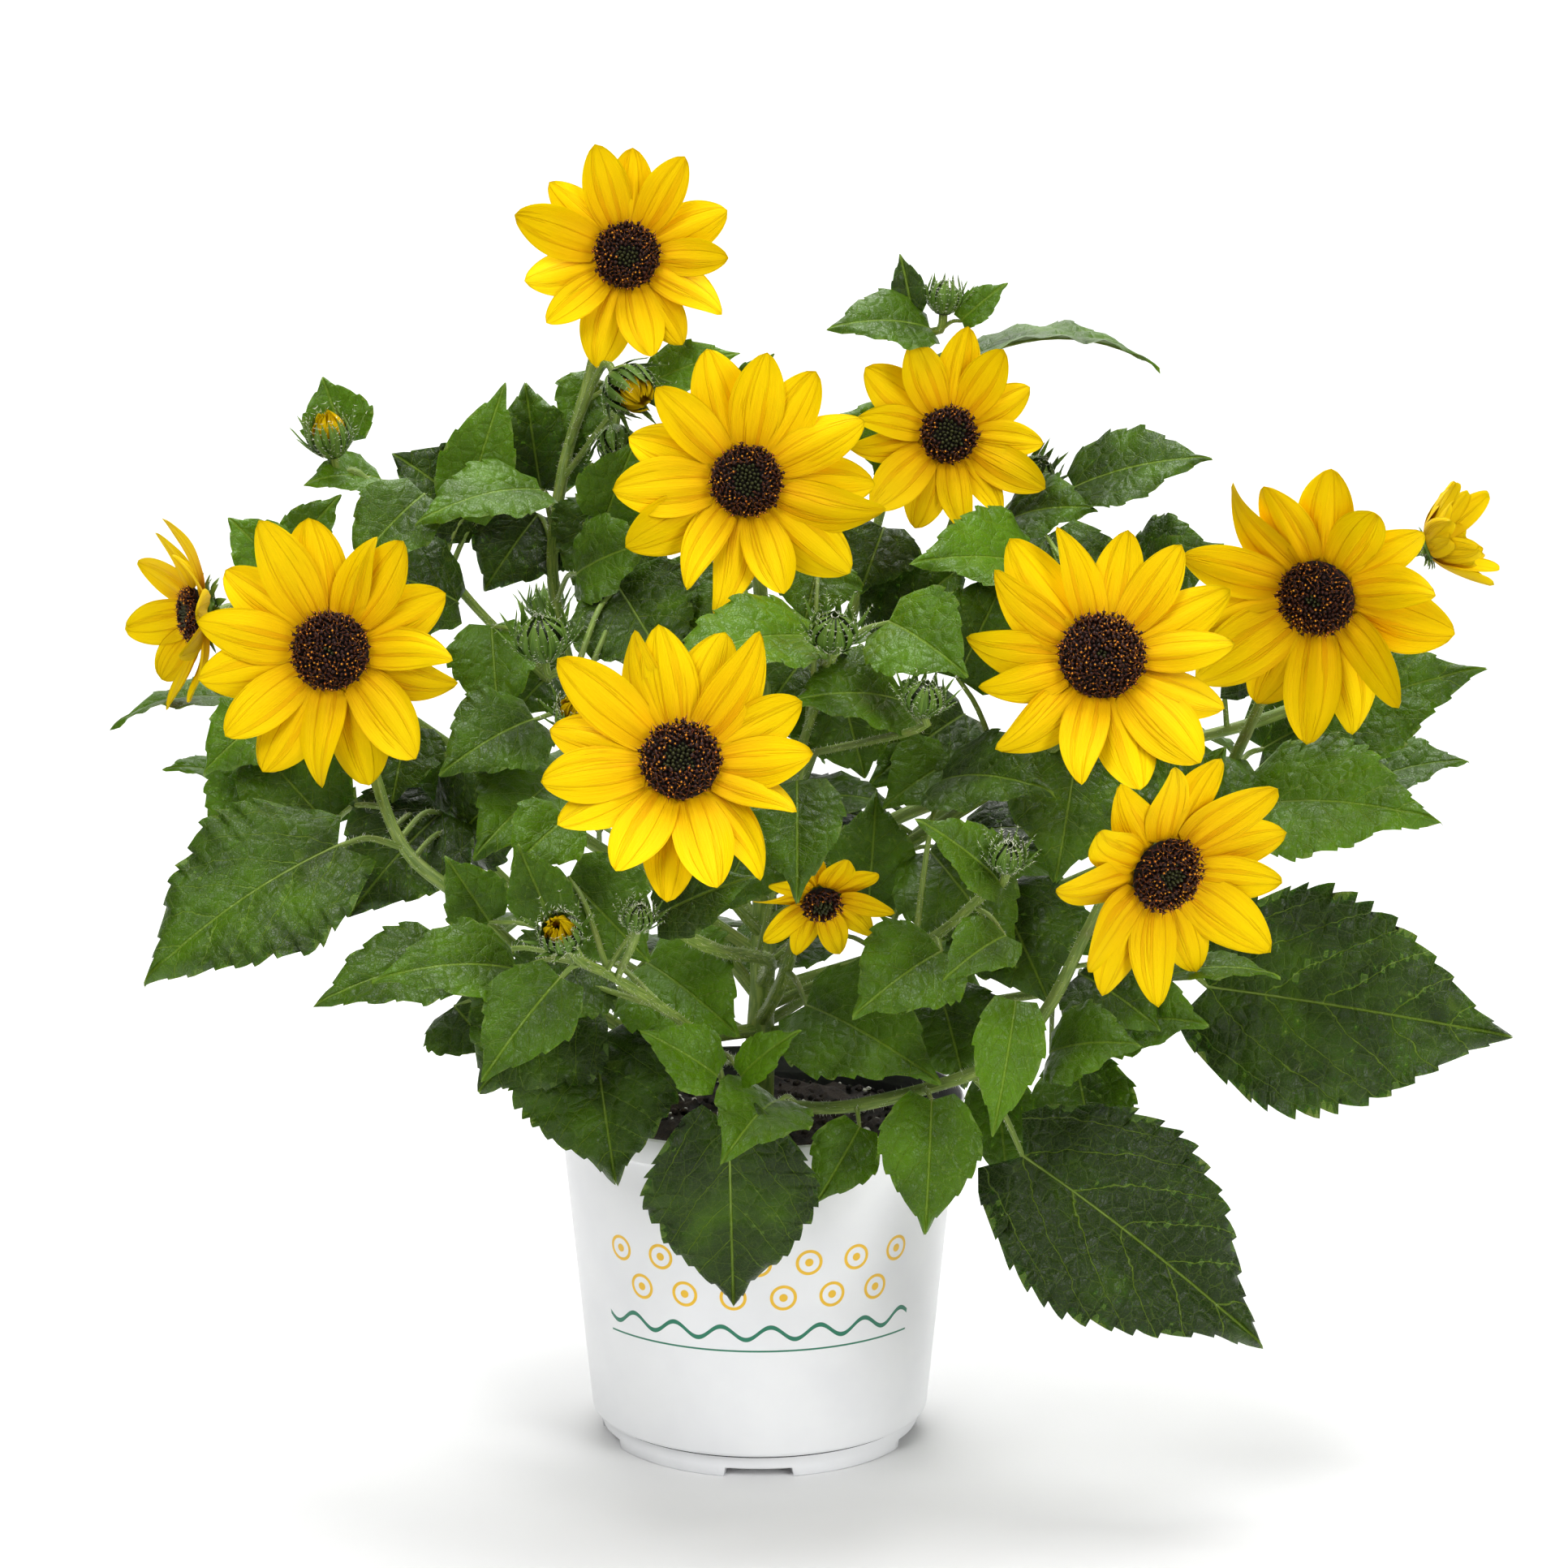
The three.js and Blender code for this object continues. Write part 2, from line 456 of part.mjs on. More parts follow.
// Pot
function potSolid() {
  const floorTop = CHANNEL_LIFT + FLOOR_THICKNESS;
  const ringInner = POT_FOOT_RADIUS - FOOT_RING_WIDTH;
  const underRim = POT_HEIGHT - RIM_DEPTH;
  const body = turned([
    [0, 0], [CHANNEL_RADIUS, 0], [CHANNEL_RADIUS + 2, CHANNEL_LIFT],
    [ringInner - 1, CHANNEL_LIFT], [ringInner, 0], [POT_FOOT_RADIUS, 0],
    [POT_FOOT_RADIUS + 0.8, POT_FOOT_HEIGHT - 2], [POT_FOOT_TOP_RADIUS, POT_FOOT_HEIGHT],
    [POT_TOP_RADIUS, underRim - 2], [RIM_RADIUS, underRim],
    [RIM_RADIUS, POT_HEIGHT], [RIM_RADIUS - RIM_WALL, POT_HEIGHT],
    [RIM_RADIUS - RIM_WALL - 0.3, underRim + 2], [POT_TOP_RADIUS - POT_WALL, underRim],
    [POT_FOOT_TOP_RADIUS - POT_WALL, POT_FOOT_HEIGHT + 1],
    [POT_FOOT_RADIUS - POT_WALL, floorTop], [CHANNEL_RADIUS, floorTop],
    [CHANNEL_RADIUS - 2, FLOOR_THICKNESS], [0, FLOOR_THICKNESS],
  ], POT_SIDES);
  return drained(notched(body));
}

// Foot notches that let water run out, one of them at the front
function notched(body) {
  let cut = body;
  for (let i = 0; i < NOTCH_COUNT; i += 1) {
    const box = new THREE.BoxGeometry(NOTCH_WIDTH, 3 * FOOT_RING_WIDTH, 2 * NOTCH_HEIGHT);
    box.translate(0, -POT_FOOT_RADIUS - FOOT_RING_WIDTH * 0.55, 0);
    box.rotateZ((2 * Math.PI * i) / NOTCH_COUNT);
    cut = cut.subtract(solid(box));
  }
  return cut;
}

// Drain holes through the raised channel of the floor
function drained(body) {
  let cut = body;
  const radius = (CHANNEL_RADIUS + POT_FOOT_RADIUS - FOOT_RING_WIDTH) / 2;
  for (let i = 0; i < DRAIN_COUNT; i += 1) {
    const hole = new THREE.CylinderGeometry(DRAIN_RADIUS, DRAIN_RADIUS, 30, 8);
    hole.rotateX(Math.PI / 2);
    hole.translate(0, -radius, 0);
    hole.rotateZ((2 * Math.PI * (i + 0.5)) / DRAIN_COUNT);
    cut = cut.subtract(solid(hole));
  }
  return cut;
}

// Potting mix with a gently uneven top and a plain hole for the crown stem
function soilSolid() {
  const wallRadius = (height) => {
    const share = (height - POT_FOOT_HEIGHT) / (POT_HEIGHT - RIM_DEPTH - POT_FOOT_HEIGHT);
    const inner = POT_FOOT_TOP_RADIUS + share * (POT_TOP_RADIUS - POT_FOOT_TOP_RADIUS);
    return inner - POT_WALL - SOIL_WALL_GAP;
  };
  const floor = CHANNEL_LIFT + FLOOR_THICKNESS + SEAT_GAP;
  const holeRadius = CROWN_RADIUS + SEAT_GAP * 2;
  const points = [
    [0, FLOOR_THICKNESS + SEAT_GAP], [CHANNEL_RADIUS - 3, FLOOR_THICKNESS + SEAT_GAP],
    [CHANNEL_RADIUS - 1, floor], [POT_FOOT_RADIUS - POT_WALL - 1.5, floor],
    [wallRadius(POT_FOOT_HEIGHT + 2), POT_FOOT_HEIGHT + 2], [wallRadius(SOIL_TOP), SOIL_TOP - 3],
    [82, SOIL_TOP], [56, SOIL_TOP + 1], [30, SOIL_TOP], [holeRadius + 1.5, SOIL_TOP + 2],
    [holeRadius, SOIL_TOP], [holeRadius, SOIL_TOP - PLANT_DEPTH], [0, SOIL_TOP - PLANT_DEPTH],
  ];
  const lathe = new THREE.LatheGeometry(points.map((p) => new THREE.Vector2(...p)), SOIL_SIDES);
  lathe.rotateX(Math.PI / 2);
  const position = lathe.attributes.position;
  for (let i = 0; i < position.count; i += 1) {
    const [x, y, z] = [position.getX(i), position.getY(i), position.getZ(i)];
    const radius = Math.hypot(x, y);
    if (z >= SOIL_TOP && radius > holeRadius + 3) {
      position.setZ(i, z + SOIL_BUMP * Math.sin(x * 0.11 + 1) * Math.cos(y * 0.13));
    }
  }
  return solid(lathe);
}

// A facing as a frame: out points out of the bloom, right and up lie across it
function facing(turn, lift) {
  const [t, l] = [radians(turn), radians(lift)];
  const out = new THREE.Vector3(
    Math.sin(t) * Math.cos(l), -Math.cos(t) * Math.cos(l), Math.sin(l),
  );
  const right = new THREE.Vector3(Math.cos(t), Math.sin(t), 0);
  return { out, right, up: out.clone().cross(right) };
}

// The place at an angle, a radius and a height in a bloom's own frame
function placeIn(frame, centre, angle, radius, height) {
  return centre.clone()
    .addScaledVector(frame.right, Math.cos(angle) * radius)
    .addScaledVector(frame.up, Math.sin(angle) * radius)
    .addScaledVector(frame.out, height);
}

// A turned solid moved from the Z axis onto a bloom's own axis
function turnedOn(frame, centre, profile, sides) {
  const matrix = new THREE.Matrix4().makeBasis(frame.right, frame.up, frame.out);
  matrix.setPosition(centre);
  return turned(profile, sides).transform(matrix.toArray());
}

// A closed thin blade from its base to its tip. Each rib point is { share, at, lift }, where lift
// is half the thickness there, and each edge point { share, at } is shared by both faces.
function blade(ribs, edges) {
  return solid(new THREE.BufferGeometry().setFromPoints(bladeCorners(ribs, edges)));
}

function bladeCorners(ribs, [left, right]) {
  const face = (sign) => ribs.map(({ share, at, lift }) => (
    { share, at: at.clone().addScaledVector(lift, sign) }
  ));
  const turnedOver = (triangles) => triangles.map((triangle) => triangle.reverse());
  return [
    ...strip(face(1), left), ...turnedOver(strip(face(1), right)),
    ...turnedOver(strip(face(-1), left)), ...strip(face(-1), right),
  ].flat();
}

// Triangles between a rib line and one edge line, in the order of their shares
function strip(rib, edge) {
  const triangles = [];
  let i = 0;
  let j = 0;
  while (i < rib.length - 1 || j < edge.length - 1) {
    const ribDone = i === rib.length - 1;
    const edgeNext = ribDone || (j < edge.length - 1 && edge[j + 1].share <= rib[i + 1].share);
    if (edgeNext) {
      triangles.push([rib[i].at, edge[j + 1].at, edge[j].at]);
      j += 1;
    } else {
      triangles.push([rib[i].at, rib[i + 1].at, edge[j].at]);
      i += 1;
    }
  }
  return triangles.filter(([a, b, c]) => !(a.equals(b) || b.equals(c) || c.equals(a)));
}

// How wide a leaf is at a share of its length, as a share of its greatest half width
function leafProfile(share) {
  return Math.sin(Math.PI * share ** 0.62) ** 1.05;
}

// The surface of a leaf: place(share of its length, distance across) and its face's direction
function leafSurface({ base, tip, tilt, arch }) {
  const FOLD = 0.2;
  const WAVE = 0.07;
  const forward = tip.clone().sub(base);
  const length = forward.length();
  forward.normalize();
  const hint = new THREE.Vector3(0, -Math.sin(radians(tilt)), Math.cos(radians(tilt)));
  const normal = hint.addScaledVector(forward, -hint.dot(forward)).normalize();
  const side = normal.clone().cross(forward);
  const place = (share, across) => base.clone()
    .addScaledVector(forward, share * length)
    .addScaledVector(side, across)
    .addScaledVector(normal, arch * length * 4 * share * (1 - share)
      + Math.abs(across) * (FOLD + WAVE * Math.sin(11 * share + Math.sign(across))));
  return { place, normal, side };
}

// A leaf: a stalk from its root in the stem, then a toothed, heart-shaped blade up to its tip
function leafSolid(leaf) {
  const { place, normal, side } = leafSurface(leaf);
  const { teeth, width } = leaf;
  const stalk = stalkSections(leaf, side, place(0, 0));
  const ribCount = Math.max(2, Math.round(teeth * 0.5));
  const lift = normal.clone().multiplyScalar(LEAF_THICKNESS / 2);
  const ribs = stalk.map(({ share, at, up }) => ({ share, at, lift: up }));
  for (let i = 1; i <= ribCount; i += 1) {
    const atTip = i === ribCount;
    ribs.push({ share: i / ribCount, at: place(i / ribCount, 0), lift: atTip ? NOWHERE : lift });
  }
  const edges = [1, -1].map((sign) => {
    const edge = stalk.map(({ share, at, out }) => (
      { share, at: at.clone().addScaledVector(out, sign) }
    ));
    for (let j = 1; j < 2 * teeth; j += 1) {
      const share = j / (2 * teeth);
      const reach = (j % 2 ? 1 : 0.86) * leafProfile(share) * (width / 2);
      const lobe = 0.14 * Math.exp(-((share / 0.12) ** 2));
      const forwardLean = j % 2 ? 0.018 : 0;
      edge.push({ share, at: place(share - lobe + forwardLean, sign * reach) });
    }
    edge.push({ share: 1, at: ribs[ribs.length - 1].at });
    return edge;
  });
  return blade(ribs, edges);
}

// The sections of a leaf's stalk: a point inside the stem, one on the way and one at the blade
function stalkSections({ root, base, tip }, side, bladeBase) {
  const along = base.clone().sub(root).normalize();
  const forward = tip.clone().sub(base).normalize();
  const middle = root.clone().lerp(base, 0.55);
  middle.z += 0.12 * root.distanceTo(base);
  const section = (share, at, direction) => {
    const out = side.clone().addScaledVector(direction, -side.dot(direction));
    if (out.length() < 0.3) out.crossVectors(UP, direction);
    out.setLength(PETIOLE_RADIUS);
    return { share, at, out, up: direction.clone().cross(out).setLength(PETIOLE_RADIUS) };
  };
  return [
    { share: -1, at: root, out: NOWHERE, up: NOWHERE },
    section(-0.5, middle, along),
    section(0, bladeBase, along.clone().add(forward).normalize()),
  ];
}

// How wide a ray is at a share of its length, as a share of its greatest half width
function rayProfile(share) {
  return Math.sin(Math.PI * (0.08 + 0.92 * share) ** 0.85) ** 0.65;
}

// The shape of one ray petal: even rays form the upper layer, odd ones the lower layer
function rayShape(bloom, index, draw) {
  const { reach, disc, rays, cup, turn } = bloom;
  const lower = index % 2 === 1;
  const root = disc * 0.95;
  const length = (reach - root) * (0.86 + 0.2 * draw());
  return {
    angle: (2 * Math.PI * (index + 0.3 * (draw() - 0.5))) / rays + turn,
    root,
    length,
    half: Math.min(0.27 * length, (1.7 * Math.PI * (root + 0.4 * length)) / rays),
    rise: cup + (lower ? 0 : 0.22) + 0.05 * draw(),
    curl: -0.3 * (draw() - 0.35),
    sweep: 0.16 * (draw() - 0.5),
    level: lower ? -RAY_LEVEL : RAY_LEVEL,
  };
}

// A place on a ray petal, at a share of its length and a share of its half width to one side
function rayPlace(bloom, frame, shape, share, side) {
  const { angle, root, length, half, rise, curl, sweep, level } = shape;
  const across = side * half * rayProfile(share) + sweep * length * share * share;
  const droop = Math.abs(side) * 0.1 * half;
  const lift = level + length * (rise * share ** 1.5 + curl * share ** 3) - droop;
  const sideways = placeIn(frame, NOWHERE, angle + Math.PI / 2, 1, 0);
  return placeIn(frame, vec(bloom.centre), angle, root + length * share, lift)
    .addScaledVector(sideways, across);
}

// One layer of rays as a star: neighbours share a root corner, and a hub closes the middle
function rayLayer(bloom, frame, shapes, hubTop, hubBottom) {
  const centre = vec(bloom.centre);
  const count = shapes.length;
  const lift = frame.out.clone().multiplyScalar(RAY_THICKNESS / 2);
  const corner = (k) => {
    const wrap = k >= count ? 2 * Math.PI : 0;
    const angle = (shapes[k - 1].angle + shapes[k % count].angle + wrap) / 2;
    return placeIn(frame, centre, angle, shapes[0].root, shapes[0].level);
  };
  const corners = [];
  shapes.forEach((shape, k) => {
    const at = (share, side) => rayPlace(bloom, frame, shape, share, side);
    const [rightRoot, leftRoot] = [corner(k === 0 ? count : k), corner(k + 1)];
    const tip = at(1, 0);
    const ribs = [
      { share: 0, at: at(0, 0), lift },
      { share: 1, at: tip, lift: NOWHERE },
    ];
    const edge = (sign, rootCorner) => [
      { share: 0, at: rootCorner },
      ...[0.34, 0.82].map((share) => ({ share, at: at(share, sign) })),
      { share: 1, at: tip },
    ];
    corners.push(...bladeCorners(ribs, [edge(1, leftRoot), edge(-1, rightRoot)]));
    for (const [sign, height] of [[1, hubTop], [-1, hubBottom]]) {
      const hub = centre.clone().addScaledVector(frame.out, height);
      const rib = ribs[0].at.clone().addScaledVector(lift, sign);
      const fan = [hub, rightRoot, rib, hub, rib, leftRoot];
      corners.push(...(sign > 0 ? fan : fan.reverse()));
    }
  });
  return solid(new THREE.BufferGeometry().setFromPoints(corners));
}

// The ray petals of one bloom, in two layers that join at the hub
function raysSolid(bloom, seed) {
  const frame = facing(bloom.turn, bloom.lift);
  const draw = draws(seed);
  const shapes = [];
  for (let i = 0; i < bloom.rays; i += 1) shapes.push(rayShape(bloom, i, draw));
  const half = PLATE_THICKNESS / 2;
  const upper = rayLayer(bloom, frame, shapes.filter((shape) => shape.level > 0), half, -1);
  const lower = rayLayer(bloom, frame, shapes.filter((shape) => shape.level < 0), 0, -half);
  return upper.add(lower);
}

// The disc of one bloom: a low dome whose florets stand up as rings of small bumps
function discSolid(bloom) {
  const RINGS = 3;
  const SECTORS = 10;
  const BUMP = 1.1;
  const frame = facing(bloom.turn, bloom.lift);
  const centre = vec(bloom.centre);
  const foot = PLATE_THICKNESS / 2 + SEAT_GAP;
  const height = bloom.disc * 0.26;
  const point = (ring, sector) => {
    const share = ring / RINGS;
    const angle = (2 * Math.PI * (sector + (ring % 2) / 2)) / SECTORS;
    const bump = ring % 2 === sector % 2 ? BUMP : 0;
    const dome = height * (1 - share ** 3) + (ring === RINGS ? 1.6 : bump + 1.2);
    return placeIn(frame, centre, angle, bloom.disc * share, foot + dome);
  };
  const rim = (sector) => {
    const angle = (2 * Math.PI * sector) / SECTORS;
    return placeIn(frame, centre, angle, bloom.disc * 0.94, foot);
  };
  const top = placeIn(frame, centre, 0, 0, foot + height * 0.8);
  const bottom = placeIn(frame, centre, 0, 0, foot);
  const corners = [];
  for (let s = 0; s < SECTORS; s += 1) {
    const n = (s + 1) % SECTORS;
    corners.push(top, point(1, s), point(1, n));
    for (let ring = 1; ring < RINGS; ring += 1) {
      corners.push(point(ring, s), point(ring + 1, s), point(ring + 1, n));
      corners.push(point(ring, s), point(ring + 1, n), point(ring, n));
    }
    corners.push(point(RINGS, s), rim(s), rim(n));
    corners.push(point(RINGS, s), rim(n), point(RINGS, n));
    corners.push(bottom, rim(n), rim(s));
  }
  return solid(new THREE.BufferGeometry().setFromPoints(corners));
}

// A pointed green bract: a flat three-sided spike whose root lies inside what it grows from
function bract(root, tip, outward, half) {
  const forward = tip.clone().sub(root).normalize();
  const normal = outward.clone().addScaledVector(forward, -outward.dot(forward)).normalize();
  const side = normal.clone().cross(forward);
  const left = root.clone().addScaledVector(side, half);
  const right = root.clone().addScaledVector(side, -half);
  const back = root.clone().addScaledVector(normal, BRACT_THICKNESS);
  const corners = [left, tip, right, left, right, back, right, tip, back, back, tip, left];
  return solid(new THREE.BufferGeometry().setFromPoints(corners));
}

// How far a bloom's calyx cup reaches behind it
function calyxDepth(bloom) {
  return CALYX_DEPTH * Math.min(1, bloom.disc / 15);
}

// The green calyx behind a bloom: a shallow cup with a ring of bracts
function calyxSolids(bloom) {
  const BRACTS = 5;
  const frame = facing(bloom.turn, bloom.lift);
  const centre = vec(bloom.centre);
  const top = -PLATE_THICKNESS / 2 - SEAT_GAP;
  const depth = calyxDepth(bloom);
  const cup = turnedOn(frame, centre, [
    [0, top - depth], [BRANCH_RADIUS, top - depth], [bloom.disc, top], [0, top],
  ], 6);
  const parts = [cup];
  for (let i = 0; i < BRACTS; i += 1) {
    const angle = (2 * Math.PI * (i + 0.5)) / BRACTS;
    const spread = bloom.disc * (i % 2 ? 1.7 : 1.55);
    const root = placeIn(frame, centre, angle, bloom.disc * 0.6, top - depth * 0.36);
    const tip = placeIn(frame, centre, angle, spread, top - depth * (i % 2 ? 0.55 : 0.9));
    parts.push(bract(root, tip, frame.out.clone().negate(), bloom.disc * 0.3));
  }
  return parts;
}

// A bud: a round green body under bracts, cut off level where its yellow tip stands
function budSolids(bud) {
  const BRACTS = 5;
  const frame = facing(bud.turn, bud.lift);
  const centre = vec(bud.centre);
  const r = bud.radius;
  const crest = bud.open ? [[r * 0.98, 0], [0, 0]] : [[r * 0.92, r * 0.3], [0, r * 0.72]];
  const body = turnedOn(frame, centre, [[0, -r * 0.9], [r * 0.7, -r * 0.62], ...crest], 6);
  const parts = [body];
  for (let i = 0; i < BRACTS; i += 1) {
    const angle = (2 * Math.PI * i) / BRACTS;
    const wide = i % 2 === 1;
    const root = placeIn(frame, centre, angle, r * 0.5, -r * 0.5);
    const tip = placeIn(frame, centre, angle, r * (wide ? 1.55 : 1.12), r * (wide ? 0.75 : 1.15));
    const outward = placeIn(frame, NOWHERE, angle, 1, 0);
    parts.push(bract(root, tip, outward, r * 0.42));
  }
  return parts;
}

// The folded yellow rays that show in an opening bud
function budTipSolid(bud) {
  const frame = facing(bud.turn, bud.lift);
  const r = bud.radius;
  return turnedOn(frame, vec(bud.centre), [
    [0, SEAT_GAP], [r * 0.56, SEAT_GAP], [r * 0.62, r * 0.45], [r * 0.4, r * 0.95], [0, r * 1.2],
  ], 6);
}

// The last stretch of a stem, which bends in behind a bloom or a bud along its facing
function neckPoints(centre, turn, lift, backs) {
  const { out } = facing(turn, lift);
  return backs.map((back) => vec(centre).addScaledVector(out, -back));
}

// A smooth curve through points chosen by hand
function curveThrough(points) {
  return new THREE.CatmullRomCurve3(points, false, 'catmullrom', 0.5);
}

// The curves of every stem, from the crown stem's axis to the bloom or bud at its end
function stemCurves() {
  const crownNeck = neckPoints(BLOOMS.crown.centre, BLOOMS.crown.turn, BLOOMS.crown.lift, [CROWN_NECK_END]);
  const soilEnd = [0, 0, SOIL_TOP - PLANT_DEPTH + SEAT_GAP];
  const crown = curveThrough([soilEnd, ...CROWN_ROUTE].map(vec).concat(crownNeck));
  const curves = { crown };
  for (const [name, stem] of Object.entries(STEMS)) {
    const head = stem.bloom ? BLOOMS[stem.bloom] : BUDS[stem.bud];
    const backs = stem.bloom
      ? [NECK_LENGTH, calyxDepth(head) * 0.8]
      : [head.radius * 1.7, head.radius * 0.5];
    const neck = neckPoints(head.centre, head.turn, head.lift, backs);
    curves[name] = curveThrough([pointAtHeight(crown, stem.rise), ...stem.route.map(vec), ...neck]);
  }
  return curves;
}

// The place on an upright curve at a height
function pointAtHeight(curve, height) {
  let low = 0;
  let high = 1;
  for (let i = 0; i < 40; i += 1) {
    const middle = (low + high) / 2;
    if (curve.getPoint(middle).z < height) low = middle;
    else high = middle;
  }
  return curve.getPoint(low);
}

const curves = stemCurves();

// The crown stem narrows from the soil up to its bloom
function crownRadius(share) {
  return THREE.MathUtils.lerp(CROWN_RADIUS, BRANCH_RADIUS, Math.min(1, share / CROWN_TAPER_END));
}

function crownBar(extra) {
  return bar(curves.crown, CROWN_SIDES, CROWN_STEPS, (share) => crownRadius(share) + extra);
}

// Placed pieces, each with the name of the node that it belongs to
const placed = [];

function place(node, kind, body) {
  const { min, max } = body.boundingBox();
  placed.push({ node, kind, body, min, max });
}

// Whether two boxes come nearer than the leaf clearance
function boxesMeet(a, b) {
  return [0, 1, 2].every((k) => (
    a.min[k] < b.max[k] + LEAF_CLEARANCE && b.min[k] < a.max[k] + LEAF_CLEARANCE
  ));
}

// Whether a leaf of a stem keeps clear of all that is placed, apart from its own stem
function isClear(node, body) {
  const box = body.boundingBox();
  return placed.every((other) => {
    if (other.node === node && other.kind === 'stem') return true;
    if (!boxesMeet(box, other)) return true;
    if (other.node === node && other.kind === 'leaf') {
      return body.intersect(other.body).volume() < ROOT_OVERLAP;
    }
    return body.minGap(other.body, LEAF_CLEARANCE) >= LEAF_CLEARANCE;
  });
}

// The corners of a stem's centre line, one at each section of its bar
function centreLine(name) {
  return curves[name].getSpacedPoints(barSteps(name));
}

// How many sections a stem's bar has
function barSteps(name) {
  return name === 'crown' ? CROWN_STEPS : STEMS[name].route.length + 3;
}

// The place at a share of a stem's centre line
function alongStem(name, share) {
  const line = centreLine(name);
  const position = share * (line.length - 1);
  const index = Math.min(Math.floor(position), line.length - 2);
  return line[index].clone().lerp(line[index + 1], position - index);
}

// Where a leaf's stalk leaves its stem: the place nearest to its base, a little lower
function petioleRoot(stem, base) {
  const lowered = base.clone().addScaledVector(UP, -PETIOLE_DROP);
  const line = centreLine(stem);
  let best = line[0];
  for (let i = 0; i + 1 < line.length; i += 1) {
    const piece = new THREE.Line3(line[i], line[i + 1]);
    const near = piece.closestPointToPoint(lowered, true, new THREE.Vector3());
    if (near.distanceTo(lowered) < best.distanceTo(lowered)) best = near;
  }
  return best;
}

// A large leaf where it was measured, bent clear of its neighbours
function placeLeaf(stem, spec) {
  const length = vec(spec.base).distanceTo(vec(spec.tip));
  for (const baseBend of BASE_BENDS) {
    for (const tipBend of TIP_BENDS) {
      const base = vec(spec.base).add(new THREE.Vector3(0, baseBend, 0));
      const tip = vec(spec.tip).add(new THREE.Vector3(0, baseBend + tipBend * length, 0));
      const root = petioleRoot(stem, base);
      const body = leafSolid({ ...spec, base, tip, root });
      if (isClear(stem, body)) {
        place(stem, 'leaf', body);
        return;
      }
    }
  }
}

// A filler leaf: it leaves its stem to one side and is turned round the stem until it is clear
function placeFiller(stem, index, seed) {
  const draw = draws(seed);
  const root = alongStem(stem, FILLER_PLACES[index]);
  const length = FILLER_LENGTH * (0.7 + 0.5 * draw());
  const stalk = FILLER_PETIOLE * (0.7 + 0.6 * draw());
  const droop = 0.5 * draw();
  for (let turn = 0; turn < FILLER_TRIES; turn += 1) {
    const angle = radians(seed * GOLDEN_TURN + index * GOLDEN_TURN + turn * 51);
    const outward = new THREE.Vector3(Math.cos(angle), Math.sin(angle), 0);
    const base = root.clone().addScaledVector(outward, stalk).addScaledVector(UP, stalk * 0.35);
    const tip = base.clone().addScaledVector(outward, length).addScaledVector(UP, -droop * length);
    const tilt = 20 - 35 * outward.y;
    const leaf = { base, tip, root, width: length * FILLER_WIDTH, tilt, arch: 0.12, teeth: 3 };
    const body = leafSolid(leaf);
    if (isClear(stem, body)) {
      place(stem, 'leaf', body);
      return;
    }
  }
}

// The stem of one node, cut where it meets the crown stem
function stemSolid(name) {
  if (name === 'crown') return crownBar(0);
  const radius = STEMS[name].bloom ? BRANCH_RADIUS : SHOOT_RADIUS;
  return bar(curves[name], STEM_SIDES, barSteps(name), () => radius).subtract(crownBar(SEAT_GAP));
}

// A side stalk from its parent stem to a bud
function budStalk(bud) {
  const root = alongStem(bud.parent, bud.root);
  const [back, near] = neckPoints(bud.centre, bud.turn, bud.lift, [bud.radius * 1.8, bud.radius * 0.5]);
  return bar(curveThrough([root, back, near]), PETIOLE_SIDES + 1, 5, () => SHOOT_RADIUS * 0.7);
}

const group = new THREE.Group();

function addNode(name, body, material) {
  group.add(namedMesh(name, body, material));
}

const pot = potSolid();
const soil = soilSolid();
place('pot', 'pot', pot);
place('soil', 'soil', soil);
addNode('pot', pot, WHITE_POT);
addNode('soil', soil, DARK_SOIL);

// Stems and heads are placed first, so that the leaves can be bent clear of them
const stemNames = ['crown', ...Object.keys(STEMS)];
for (const name of stemNames) {
  place(name, 'stem', stemSolid(name));
}
let seed = 11;
for (const [name, bloom] of Object.entries(BLOOMS)) {
  seed += 7;
  const rays = raysSolid(bloom, seed);
  const disc = discSolid(bloom);
  place(name, 'calyx', joined(calyxSolids(bloom)));
  place('rays_' + name, 'rays', rays);
  place('disc_' + name, 'disc', disc);
  addNode('rays_' + name, rays, YELLOW_RAY);
  addNode('disc_' + name, disc, BROWN_DISC);
}
for (const [name, bud] of Object.entries(BUDS)) {
  const parts = budSolids(bud);
  if (bud.parent) parts.push(budStalk(bud));
  place(bud.parent ?? name, 'calyx', joined(parts));
  if (bud.open) {
    const tip = budTipSolid(bud);
    place('tip_' + name, 'tip', tip);
    addNode('tip_' + name, tip, YELLOW_RAY);
  }
}
for (const [stem, leaves] of Object.entries(LEAVES)) {
  for (const leaf of leaves) placeLeaf(stem, leaf);
}
for (const [stem, count] of Object.entries(FILLED_STEMS)) {
  for (let i = 0; i < count; i += 1) {
    seed += 3;
    placeFiller(stem, i, seed);
  }
}
for (const name of stemNames) {
  const parts = placed.filter((piece) => piece.node === name).map((piece) => piece.body);
  addNode('stem_' + name, joined(parts).simplify(SLIVER), GREEN_LEAF);
}

export default group;
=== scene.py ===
import json
import math

import bpy
import numpy as np
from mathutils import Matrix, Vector
from mathutils.kdtree import KDTree

